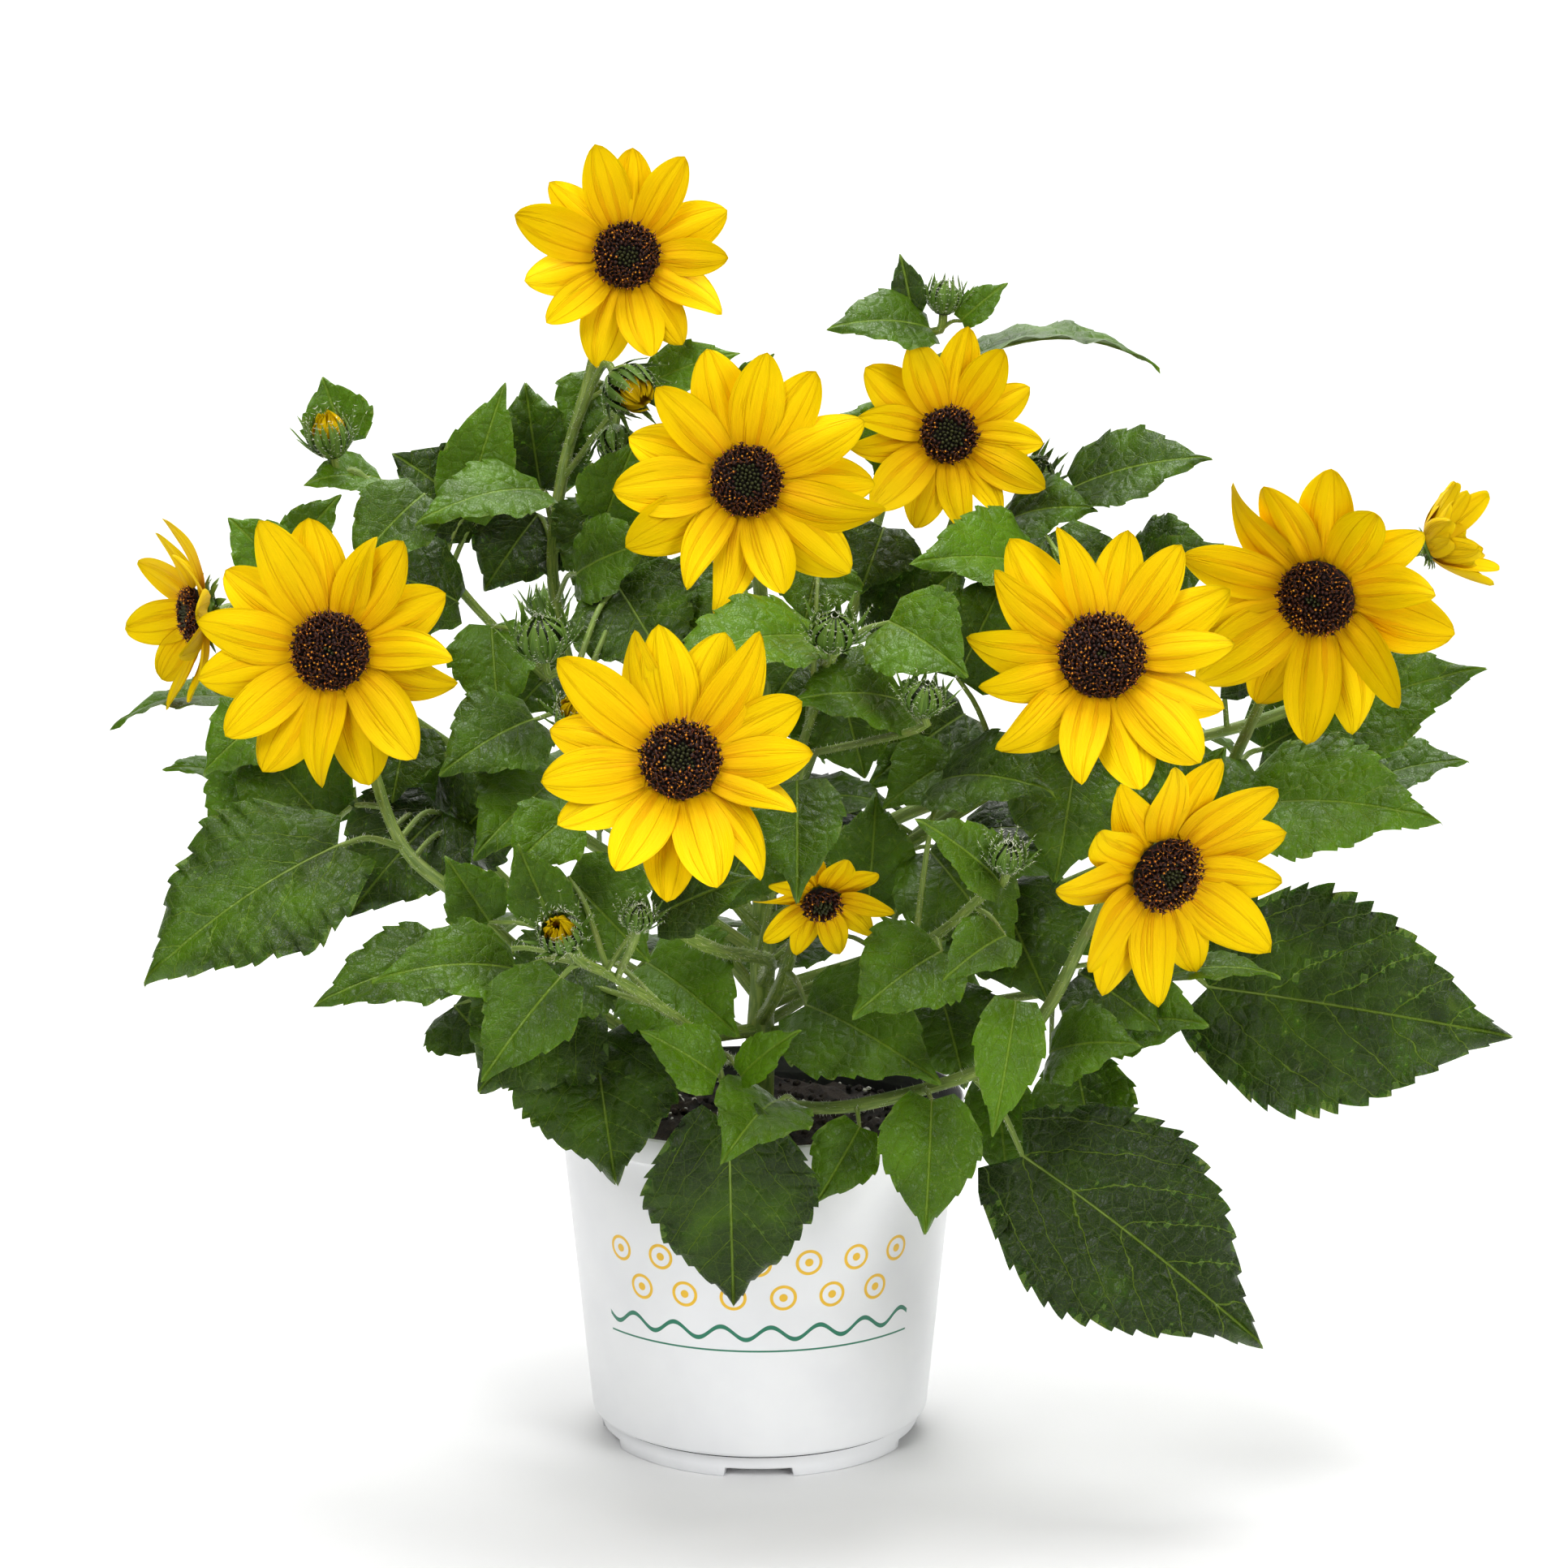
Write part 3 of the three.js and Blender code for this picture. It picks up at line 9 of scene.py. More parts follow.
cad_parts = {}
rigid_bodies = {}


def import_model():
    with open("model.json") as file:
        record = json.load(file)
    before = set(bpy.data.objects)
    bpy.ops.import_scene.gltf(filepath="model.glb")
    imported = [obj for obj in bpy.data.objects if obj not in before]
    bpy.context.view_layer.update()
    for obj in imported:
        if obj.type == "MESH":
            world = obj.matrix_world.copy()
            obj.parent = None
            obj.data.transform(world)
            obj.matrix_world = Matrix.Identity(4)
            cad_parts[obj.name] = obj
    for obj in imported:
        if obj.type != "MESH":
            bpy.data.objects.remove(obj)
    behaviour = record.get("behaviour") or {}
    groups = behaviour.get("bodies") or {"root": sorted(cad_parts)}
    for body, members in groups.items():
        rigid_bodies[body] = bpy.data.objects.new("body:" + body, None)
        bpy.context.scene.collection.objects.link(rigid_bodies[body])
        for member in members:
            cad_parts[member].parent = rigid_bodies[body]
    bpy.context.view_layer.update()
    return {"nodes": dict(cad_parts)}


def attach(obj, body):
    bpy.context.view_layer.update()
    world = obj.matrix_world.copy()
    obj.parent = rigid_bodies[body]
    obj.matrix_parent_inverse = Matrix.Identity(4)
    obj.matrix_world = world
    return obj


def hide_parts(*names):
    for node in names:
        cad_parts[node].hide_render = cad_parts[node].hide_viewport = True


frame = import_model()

MM = 0.001
UP = np.array([0.0, 0.0, 1.0])

# The solids' own sizes, on which the finer pieces are built
POT_HEIGHT, POT_TOP_RADIUS, RIM_RADIUS, RIM_DEPTH = 188.7, 108.9, 112.9, 14
POT_FOOT_TOP_RADIUS, POT_FOOT_RADIUS, POT_FOOT_HEIGHT, FOOT_RING_WIDTH = 93.3, 87.8, 14, 7.8
POT_WALL, RIM_WALL, CHANNEL_RADIUS, CHANNEL_LIFT, FLOOR_THICKNESS = 1.9, 2.2, 60, 5, 2.6
NOTCH_COUNT, NOTCH_WIDTH, NOTCH_HEIGHT = 5, 36, 5
SOIL_TOP, SOIL_RADIUS, SOIL_FOOT_SHARE, PLANT_DEPTH, SEAT_GAP = 171, 104.5, 0.845, 66, 0.3
CROWN_STEPS, NECK_LENGTH, CROWN_NECK_END, PETIOLE_DROP = 9, 30, 9, 18
PLATE_THICKNESS, RAY_LEVEL, CALYX_DEPTH = 3, 0.9, 11
LEAF_FOLD, LEAF_WAVE = 0.2, 0.07

# Sizes of what is only modelled here
CROWN_FOOT_RADIUS, CROWN_TOP_RADIUS = 9.4, 4.0
BRANCH_RADII, SHOOT_RADII, PETIOLE_RADII = (3.9, 2.9), (3.1, 2.3), (1.75, 1.25)
LEAF_SHEET, PETAL_SHEET, BRACT_SHEET = 0.45, 0.4, 0.6
HAIR_RADIUS, STYLE_RADIUS = 0.1, 0.32
HAIRS_PER_MM, PETIOLE_HAIRS_PER_MM, BRACT_HAIRS = 2.0, 1.1, 18
FLORETS_PER_SQUARE_MM, FLORET_RINGS, FLORET_SIDES = 0.21, 4, 5
FLORET_TURN, DUSTED_SHARE = 137.508, 0.3
# Radii and heights of a floret's rings, in floret widths
CLOSED_FLORET = ([0.34, 0.5, 0.36, 0.12], [0, 0.75, 1.35, 1.7])
OPEN_FLORET = ([0.3, 0.36, 0.3, 0.5], [0, 0.8, 1.5, 1.95])
POLLEN_KNOB = ([0.1, 0.24, 0.22, 0.06], [1.7, 1.9, 2.15, 2.3])
PETAL_ROWS, PETAL_COLUMNS = 20, 11
HOOKED_SHARE, TIP_PETALS = 0.2, 21
CRUMB_COUNT, WHITE_SHARE = 420, 0.12
# Rows of printed rings, in centimetres: height, shift along the row and where the row ends
RING_PITCH = 2.6
RING_ROWS = [(10.4, 0, 7.8), (12.3, RING_PITCH / 2, 9.1)]
# The studio, in metres: the white sweep, and each lamp's place, aim, size and power
SWEEP_FRONT, SWEEP_BACK, SWEEP_BEND, SWEEP_TOP, SWEEP_WIDTH = -6.0, 3.2, 1.2, 4.5, 9.0
SWEEP_STEPS = 12
PLANT_MIDDLE = (0, 0, 0.35)
LAMPS = {
    "key": ((-1.2, -2.0, 2.2), PLANT_MIDDLE, 1.5, 39),
    "fill": ((1.9, -2.0, 1.3), PLANT_MIDDLE, 1.5, 38),
    "top": ((0.1, 0.0, 2.7), PLANT_MIDDLE, 1.6, 52),
    "wall": ((0, 1.9, 3.2), (0, 3.0, 0.4), 2.4, 90),
}
SURROUNDING_LIGHT = 0.15
# The photograph's camera: place in metres, degrees that it looks down, lens and picture width
CAMERA_PLACE, CAMERA_PITCH = (0.0135, -1.725, 0.628), 8.8
FOCAL_PIXELS, IMAGE_PIXELS, SENSOR_WIDTH = 3960, 1932, 36
# How near a corner of the solid has to be to a leaf's corner, and for what share of its corners
MATCH_DISTANCE, MATCH_SHARE = 0.5, 0.6
# Rings of bracts on a calyx: how many, how far they reach in disc radii and how far they drop
CALYX_RINGS = [(10, 1.62, 0.5), (9, 1.42, 0.85)]
# Side veins on each half of a leaf, and how they slope and bend towards its tip
SIDE_VEINS, VEIN_SLOPE, VEIN_BEND = 5.0, 0.34, 0.3

# Blooms: centre, reach to the ray tips, disc radius, turn and lift of the facing, number of rays,
# cup, and the share of the disc whose florets are still closed
BLOOM_FIELDS = ["centre", "reach", "disc", "turn", "lift", "rays", "cup", "closed"]
BLOOM_ROWS = {
    "crown": ((-6, -70, 529), 70, 18.5, 5, 8, 14, 0.2, 0.42),
    "top": ((-70, 10, 644), 62, 17.5, 0, 5, 13, 0.22, 0.34),
    "upper_right": ((101, -10, 550), 57, 15, 0, 5, 13, 0.12, 0.55),
    "left": ((-215, -110, 446), 71, 20, -5, 8, 15, 0.15, 0.12),
    "front": ((-35, -230, 407), 71, 19, 0, 25, 15, 0.2, 0.36),
    "right": ((173, -120, 444), 73, 22, 0, 20, 14, 0.2, 0.1),
    "far_right": ((286, -90, 472), 74, 20, -25, -15, 14, 0.1, 0.12),
    "low_right": ((198, -190, 347), 66, 18.5, 25, -12, 13, 0.25, 0.3),
    "small_front": ((32, -165, 329), 38, 9.5, 5, -35, 10, 0.2, 0.5),
    "far_left": ((-297, -30, 457), 52, 14, -62, 0, 10, 0.35, 0.45),
    "half_open": ((358, -20, 492), 32, 8, 68, 22, 8, 0.95, 0.7),
    "back_top": ((-8, 165, 512), 54, 17, 188, 10, 8, 0.2, 0.3),
    "back_right": ((202, 165, 412), 56, 18, 165, 5, 8, 0.2, 0.3),
}
BLOOMS = {name: dict(zip(BLOOM_FIELDS, row)) for name, row in BLOOM_ROWS.items()}

# The crown stem's route, then each other stem: its height on the crown and its route to the
# bloom or bud of its own name
CROWN_ROUTE = [(0, 0, 200), (3, 6, 300), (4, 6, 400), (0, -2, 475), (-7, -32, 515)]
STEMS = {
    "top": (240, [(-45, 22, 300), (-90, 20, 380), (-111, 12, 465),
        (-107, 22, 525), (-92, 34, 580), (-82, 44, 620)]),
    "upper_right": (330, [(40, 18, 395), (88, 32, 460), (110, 34, 515)]),
    "left": (224, [(-60, -50, 232), (-110, -90, 275), (-149, -122, 320),
        (-181, -112, 347), (-202, -86, 395)]),
    "front": (250, [(5, -60, 276), (-20, -130, 296), (-42, -178, 320), (-45, -196, 352)]),
    "right": (282, [(60, -25, 320), (120, -60, 365), (160, -80, 400)]),
    "far_right": (244, [(90, -5, 275), (170, -15, 310), (237, -30, 346),
        (254, -40, 385), (276, -50, 438)]),
    "low_right": (190, [(-10, -55, 198), (15, -97, 206), (55, -122, 214),
        (121, -134, 238), (146, -142, 268), (166, -150, 312)]),
    "small_front": (228, [(12, -50, 262), (24, -100, 312)]),
    "far_left": (265, [(-80, 12, 318), (-160, 5, 375), (-225, -10, 425)]),
    "half_open": (302, [(90, 20, 345), (190, 16, 372), (290, 6, 402), (330, 0, 445)]),
    "back_top": (318, [(-4, 48, 385), (-10, 105, 450), (-10, 132, 490)]),
    "back_right": (256, [(60, 50, 300), (130, 105, 350), (182, 130, 388)]),
    "shoot_top": (312, [(32, 40, 380), (58, 58, 470), (78, 45, 550), (88, 18, 598)]),
    "shoot_left": (292, [(-50, 8, 350), (-105, -8, 410), (-147, -4, 452),
        (-170, 0, 478), (-195, -6, 508), (-213, -12, 530)]),
    "shoot_front": (205, [(-16, -60, 222), (-20, -120, 240), (-42, -150, 267),
        (-68, -182, 292), (-85, -212, 308)]),
    "shoot_right": (222, [(75, -22, 238), (150, -42, 254), (205, -52, 266)]),
    "shoot_centre": (275, [(-35, -45, 330), (-72, -78, 388), (-98, -92, 430)]),
    "shoot_middle": (312, [(14, -45, 360), (28, -95, 412), (35, -132, 444)]),
    "shoot_low": (236, [(45, -68, 270), (85, -130, 300), (112, -178, 334)]),
    "shoot_back": (276, [(-45, 60, 345), (-100, 108, 405)]),
    "shoot_back_left": (218, [(-60, 50, 240), (-130, 90, 278)]),
    "shoot_back_right": (226, [(60, 60, 250), (130, 98, 285)]),
}

# Buds: centre, radius, turn and lift, and where one has a stalk, its parent stem and its place
# along that stem; an opening bud shows yellow
BUD_FIELDS = ["centre", "radius", "turn", "lift", "parent", "root"]
BUD_ROWS = {
    "shoot_top": ((99, 8, 622), 10, 20, 75),
    "shoot_left": ((-226, -22, 549), 12, -20, 65),
    "shoot_front": ((-92, -236, 326), 10.5, -10, 35),
    "shoot_right": ((222, -62, 286), 9, 20, 60),
    "shoot_centre": ((-109, -104, 452), 14, -10, 60),
    "shoot_middle": ((38, -152, 460), 12, 5, 50),
    "shoot_low": ((121, -200, 356), 9, 10, 60),
    "shoot_back": ((-124, 124, 446), 11, 200, 70),
    "shoot_back_left": ((-165, 110, 318), 10, 200, 50),
    "shoot_back_right": ((172, 112, 325), 10, 150, 50),
    "beside_top": ((-69, -14, 575), 14, 40, -25, "top", 0.72),
    "below_top": ((-76, -4, 546), 10.5, 10, -50, "top", 0.68),
    "beside_upper": ((150, 26, 527), 12, 30, 40, "upper_right", 0.5),
    "beside_centre": ((-89, -160, 420), 10.5, 0, 45, "shoot_centre", 0.55),
    "beside_middle": ((82, -160, 428), 10.5, 15, 60, "shoot_middle", 0.5),
    "beside_front": ((-56, -218, 330), 8, 20, 60, "shoot_front", 0.78),
}
OPENING_BUDS = ["shoot_left", "shoot_front", "beside_top", "beside_centre"]
BUDS = {name: dict(zip(BUD_FIELDS, row), open=name in OPENING_BUDS)
        for name, row in BUD_ROWS.items()}

# Large leaves of each stem: base and tip of the blade, width, tilt, arch and teeth on each side
LEAVES = {
    "low_right": [
        ((136, -128, 188), (254, -172, 102), 112, 62, 0.08, 8),
        ((52, -134, 205), (30, -144, 168), 36, 80, 0.08, 3),
        ((129, -158, 276), (116, -190, 215), 36, 80, 0.1, 3),
        ((202, -168, 288), (258, -200, 292), 28, 20, 0.1, 3),
        ((88, -146, 222), (84, -172, 160), 52, 82, 0.08, 4),
    ],
    "shoot_right": [
        ((238, -62, 262), (388, -108, 246), 120, 72, 0.06, 8),
        ((128, -28, 205), (134, -48, 148), 40, 80, 0.08, 3),
        ((150, -118, 240), (192, -152, 252), 50, 50, 0.1, 4),
        ((185, -66, 242), (232, -108, 252), 56, 50, 0.1, 4),
        ((168, -70, 222), (176, -110, 166), 54, 74, 0.1, 4),
        ((96, -70, 260), (108, -96, 216), 62, 76, 0.1, 4),
        ((168, -80, 273), (207, -110, 250), 56, 60, 0.1, 4),
    ],
    "left": [
        ((-211, -132, 350), (-303, -170, 288), 92, 50, 0.1, 7),
        ((-224, -68, 349), (-274, -52, 400), 62, 66, 0.06, 5),
        ((-175, -52, 346), (-148, -24, 392), 46, 70, 0.06, 3),
        ((-158, -62, 342), (-118, -90, 380), 58, 70, 0.1, 4),
        ((-165, -70, 357), (-210, -104, 308), 70, 62, 0.1, 4),
        ((-252, -60, 408), (-288, -76, 378), 44, 56, 0.1, 3),
        ((-259, -50, 371), (-286, -66, 339), 50, 60, 0.1, 4),
        ((-183, -60, 400), (-189, -84, 364), 46, 76, 0.08, 3),
    ],
    "shoot_front": [
        ((-14, -163, 214), (-12, -156, 117), 86, 88, 0.06, 7),
        ((-84, -104, 244), (-72, -142, 178), 90, 72, 0.1, 7),
        ((-146, -158, 296), (-216, -192, 281), 52, 40, 0.1, 4),
        ((-116, -196, 300), (-182, -232, 302), 46, 48, 0.12, 3),
        ((-94, -214, 300), (-130, -240, 255), 46, 62, 0.1, 3),
        ((-132, -168, 318), (-152, -180, 353), 34, 62, 0.05, 3),
        ((-100, -196, 326), (-114, -208, 364), 32, 76, 0.05, 3),
        ((-48, -200, 327), (0, -218, 350), 38, 58, 0.08, 3),
        ((-20, -152, 236), (-58, -164, 262), 36, 54, 0.08, 3),
        ((-8, -152, 236), (22, -166, 263), 24, 50, 0.08, 3),
        ((-96, -88, 268), (-142, -112, 222), 84, 60, 0.1, 5),
        ((-93, -160, 339), (-53, -172, 299), 60, 76, 0.1, 4),
        ((-88, -120, 290), (-119, -150, 261), 60, 66, 0.1, 4),
        ((-158, -90, 258), (-135, -110, 237), 50, 70, 0.08, 4),
    ],
    "far_right": [
        ((276, 18, 378), (391, -38, 425), 82, 54, 0.1, 7),
        ((328, 30, 354), (387, 10, 372), 50, 30, 0.08, 4),
        ((256, -60, 358), (346, -118, 360), 80, 50, 0.1, 7),
        ((208, -50, 332), (244, -62, 390), 72, 70, 0.1, 4),
        ((243, -40, 383), (214, -78, 337), 66, 72, 0.1, 4),
    ],
    "upper_right": [
        ((168, -6, 522), (238, -30, 539), 54, 46, 0.08, 4),
        ((78, 32, 538), (42, 10, 560), 46, 60, 0.1, 3),
        ((67, 0, 500), (54, -20, 467), 50, 76, 0.08, 4),
        ((133, 22, 503), (178, 0, 512), 50, 50, 0.1, 4),
    ],
    "shoot_top": [
        ((118, 22, 592), (217, 30, 584), 56, 8, 0.13, 5),
        ((91, 0, 606), (36, -20, 606), 42, 48, 0.1, 3),
        ((82, 6, 614), (75, 2, 645), 20, 70, 0.05, 3),
        ((108, 4, 610), (132, -2, 630), 20, 60, 0.05, 3),
    ],
    "top": [
        ((-60, 20, 576), (-10, 8, 593), 32, 60, 0.08, 3),
        ((-120, 42, 518), (-127, 34, 576), 62, 84, 0.05, 5),
        ((-116, -12, 521), (-178, -55, 506), 48, 40, 0.1, 4),
        ((-96, -30, 478), (-52, -58, 498), 50, 60, 0.08, 4),
        ((-82, -10, 505), (-64, -22, 549), 42, 80, 0.1, 3),
        ((-72, 12, 509), (-97, -8, 461), 66, 74, 0.08, 5),
        ((-121, 34, 505), (-149, 14, 465), 60, 72, 0.08, 4),
        ((-86, 46, 577), (-104, 26, 543), 40, 70, 0.08, 3),
    ],
    "crown": [
        ((-12, 42, 568), (8, 40, 592), 20, 60, 0.05, 3),
    ],
    "shoot_left": [
        ((-222, 12, 545), (-234, 12, 580), 40, 84, 0.05, 3),
        ((-160, 12, 504), (-136, 12, 577), 42, 80, 0.06, 3),
        ((-176, -30, 520), (-212, -50, 480), 46, 60, 0.1, 3),
        ((-152, 20, 503), (-198, 0, 539), 60, 60, 0.1, 4),
        ((-202, 0, 526), (-239, -30, 525), 34, 46, 0.1, 3),
        ((-103, 6, 429), (-133, -20, 400), 52, 66, 0.1, 4),
    ],
    "far_left": [
        ((-262, 22, 476), (-288, 20, 504), 36, 60, 0.08, 3),
        ((-258, 32, 482), (-228, 30, 516), 30, 70, 0.05, 3),
        ((-272, -22, 408), (-350, -60, 392), 48, 12, 0.12, 4),
        ((-290, 0, 366), (-320, -20, 372), 22, 30, 0.08, 3),
        ((-160, -20, 462), (-212, -35, 480), 58, 50, 0.1, 4),
    ],
    "small_front": [
        ((20, -172, 388), (20, -208, 334), 46, 72, 0.14, 3),
        ((25, -70, 258), (92, -112, 232), 72, 60, 0.1, 5),
        ((3, -100, 362), (-22, -130, 313), 62, 78, 0.08, 4),
    ],
    "shoot_middle": [
        ((34, -112, 452), (-50, -160, 438), 58, 35, 0.12, 5),
        ((66, -120, 462), (104, -152, 438), 56, 66, 0.12, 4),
        ((75, -112, 420), (16, -150, 425), 56, 45, 0.1, 4),
        ((66, -20, 442), (112, -48, 482), 62, 60, 0.08, 5),
        ((32, -40, 486), (24, -60, 454), 50, 76, 0.08, 4),
        ((28, -62, 441), (7, -84, 416), 42, 66, 0.1, 3),
    ],
    "shoot_centre": [
        ((-140, -44, 452), (-134, -72, 402), 48, 74, 0.1, 4),
        ((-115, -85, 408), (-160, -125, 385), 54, 60, 0.1, 4),
        ((-98, -70, 378), (-142, -120, 345), 66, 60, 0.1, 5),
        ((-62, -30, 472), (-18, -72, 436), 66, 60, 0.1, 5),
        ((-74, -40, 473), (-43, -78, 428), 74, 74, 0.08, 5),
    ],
    "shoot_low": [
        ((120, -192, 340), (76, -222, 376), 36, 46, 0.08, 3),
        ((92, -152, 300), (47, -190, 275), 56, 56, 0.1, 4),
        ((122, -182, 314), (90, -212, 298), 34, 50, 0.1, 3),
        ((95, -80, 375), (148, -140, 378), 60, 50, 0.1, 5),
        ((90, -62, 335), (132, -118, 285), 66, 70, 0.1, 5),
        ((126, -70, 314), (150, -104, 263), 74, 76, 0.08, 5),
    ],
    "front": [
        ((-92, -178, 372), (-118, -205, 350), 40, 66, 0.1, 3),
        ((58, -60, 300), (62, -92, 365), 58, 82, 0.1, 4),
        ((-58, -85, 280), (-10, -130, 252), 72, 60, 0.1, 5),
        ((42, -60, 424), (56, -96, 374), 62, 80, 0.08, 4),
    ],
    "right": [
        ((150, -20, 480), (78, -70, 488), 62, 50, 0.1, 5),
        ((110, -20, 402), (60, -60, 372), 62, 66, 0.08, 5),
        ((168, -60, 399), (153, -100, 326), 88, 74, 0.1, 4),
        ((104, -60, 426), (130, -72, 485), 64, 76, 0.1, 4),
        ((152, -30, 498), (173, -50, 440), 64, 76, 0.08, 4),
        ((103, -48, 381), (65, -72, 359), 46, 56, 0.1, 3),
    ],
    "half_open": [
        ((205, -36, 466), (242, -58, 496), 46, 50, 0.1, 3),
        ((250, 0, 420), (322, -20, 452), 54, 50, 0.1, 4),
        ((202, -10, 479), (242, -30, 491), 52, 54, 0.1, 4),
    ],
}

# Filler leaves, placed by rule, and the bends by which a leaf was moved clear of its neighbours
FILLED_STEMS = {
    "crown": 2, "top": 1, "right": 1, "low_right": 1, "far_left": 2, "half_open": 2,
    "back_top": 4, "back_right": 4, "shoot_left": 1, "shoot_back": 4, "shoot_back_left": 4,
    "shoot_back_right": 4,
}
FILLER_PLACES = [0.3, 0.42, 0.55, 0.68, 0.8]
TIP_BENDS = [0, 0.12, -0.12, 0.24, -0.24, 0.36, -0.36, 0.5, -0.5]
BASE_BENDS = [0, 9, -9, 18, -18]
FILLER_LENGTH = 104
FILLER_WIDTH = 0.7
FILLER_PETIOLE = 34
FILLER_TRIES = 7
FILLER_TURN = 51
GOLDEN_TURN = 137.5


def vec(point):
    return np.array(point, float)


def unit(v):
    return v / np.linalg.norm(v)


def units(rows):
    """Each row brought to length 1."""
    return rows / np.linalg.norm(rows, axis=1)[:, None]


def axes_across(directions):
    """Two directions square to each of these and to each other."""
    side = units(np.cross(directions, np.where(abs(directions[:, 2:]) < 0.9, UP, [1.0, 0, 0])))
    return side, np.cross(directions, side)


def around(angle, right, up):
    return math.cos(angle) * right + math.sin(angle) * up


def ring_grid(rows, sides):
    """Corner numbers in rows, each row closed to a ring."""
    index = np.arange(rows * sides).reshape(rows, sides)
    return np.concatenate([index, index[:, :1]], 1)


def pole_grid(rows, sides):
    """Rings of corner numbers whose first and last ring are drawn together to a point."""
    index = ring_grid(rows, sides)
    index[0], index[-1] = index[0, 0], index[-1, 0]
    return index


def form_grid(shape, first, second, third):
    """Three numbers for each corner of a grid, which its material reads."""
    form = np.zeros((*shape, 3))
    form[..., 0], form[..., 1], form[..., 2] = first, second, third
    return form


def draws(seed):
    """The same repeatable draws between 0 and 1 as the solids were made with."""
    state = seed
    while True:
        state = (state * 16807) % 2147483647
        yield state / 2147483647


class Curve:
    """A smooth curve through points, with points at even distances along it."""

    DIVISIONS = 200

    def __init__(self, points):
        self.points = [vec(p) for p in points]
        ts = np.linspace(0, 1, self.DIVISIONS + 1)
        line = np.array([self.at(t) for t in ts])
        steps = np.linalg.norm(np.diff(line, axis=0), axis=1)
        self.lengths = np.concatenate([[0], np.cumsum(steps)])
        self.length = self.lengths[-1]

    def at(self, t):
        p = self.points
        place = (len(p) - 1) * t
        i = min(int(place), len(p) - 2)
        w = place - i
        before = p[i - 1] if i > 0 else 2 * p[0] - p[1]
        after = p[i + 2] if i + 2 < len(p) else 2 * p[-1] - p[-2]
        start, end = p[i], p[i + 1]
        t0, t1 = 0.5 * (end - before), 0.5 * (after - start)
        c2 = -3 * start + 3 * end - 2 * t0 - t1
        c3 = 2 * start - 2 * end + t0 + t1
        return start + w * (t0 + w * (c2 + w * c3))

    def spaced(self, steps):
        lengths = np.linspace(0, self.length, steps + 1)
        ts = np.interp(lengths, self.lengths, np.linspace(0, 1, self.DIVISIONS + 1))
        return np.array([self.at(t) for t in ts])

    def height_at(self, height):
        low, high = 0.0, 1.0
        for _ in range(40):
            middle = (low + high) / 2
            if self.at(middle)[2] < height:
                low = middle
            else:
                high = middle
        return self.at(low)


def facing(turn, lift):
    """A facing as a frame: out of the bloom, then right and up across it."""
    t, l = math.radians(turn), math.radians(lift)
    out = vec([math.sin(t) * math.cos(l), -math.cos(t) * math.cos(l), math.sin(l)])
    right = vec([math.cos(t), math.sin(t), 0])
    return out, right, np.cross(out, right)


def axes_of(head):
    out, right, up = facing(head["turn"], head["lift"])
    return vec(head["centre"]), out, right, up


def calyx_depth(bloom):
    return CALYX_DEPTH * min(1, bloom["disc"] / 15)


def neck(head, backs):
    centre, out, _, _ = axes_of(head)
    return [centre - back * out for back in backs]


def stem_curves():
    foot = (0, 0, SOIL_TOP - PLANT_DEPTH + SEAT_GAP)
    crown = Curve([foot, *CROWN_ROUTE, *neck(BLOOMS["crown"], [CROWN_NECK_END])])
    curves = {"crown": crown}
    for name, (rise, route) in STEMS.items():
        if name in BLOOMS:
            head = BLOOMS[name]
            backs = [NECK_LENGTH, calyx_depth(head) * 0.8]
        else:
            head = BUDS[name]
            backs = [head["radius"] * 1.7, head["radius"] * 0.5]
        curves[name] = Curve([crown.height_at(rise), *route, *neck(head, backs)])
    return curves


CURVES = stem_curves()
FINE_LINES = {name: curve.spaced(160) for name, curve in CURVES.items()}


def centre_line(name):
    """The corners of the solid stem's centre line."""
    steps = CROWN_STEPS if name == "crown" else len(STEMS[name][1]) + 3
    return CURVES[name].spaced(steps)


def along_stem(name, share):
    line = centre_line(name)
    place = share * (len(line) - 1)
    i = min(int(place), len(line) - 2)
    return line[i] + (place - i) * (line[i + 1] - line[i])


def nearest_on_stem(name, point):
    line = FINE_LINES[name]
    return line[np.argmin(((line - point) ** 2).sum(1))]


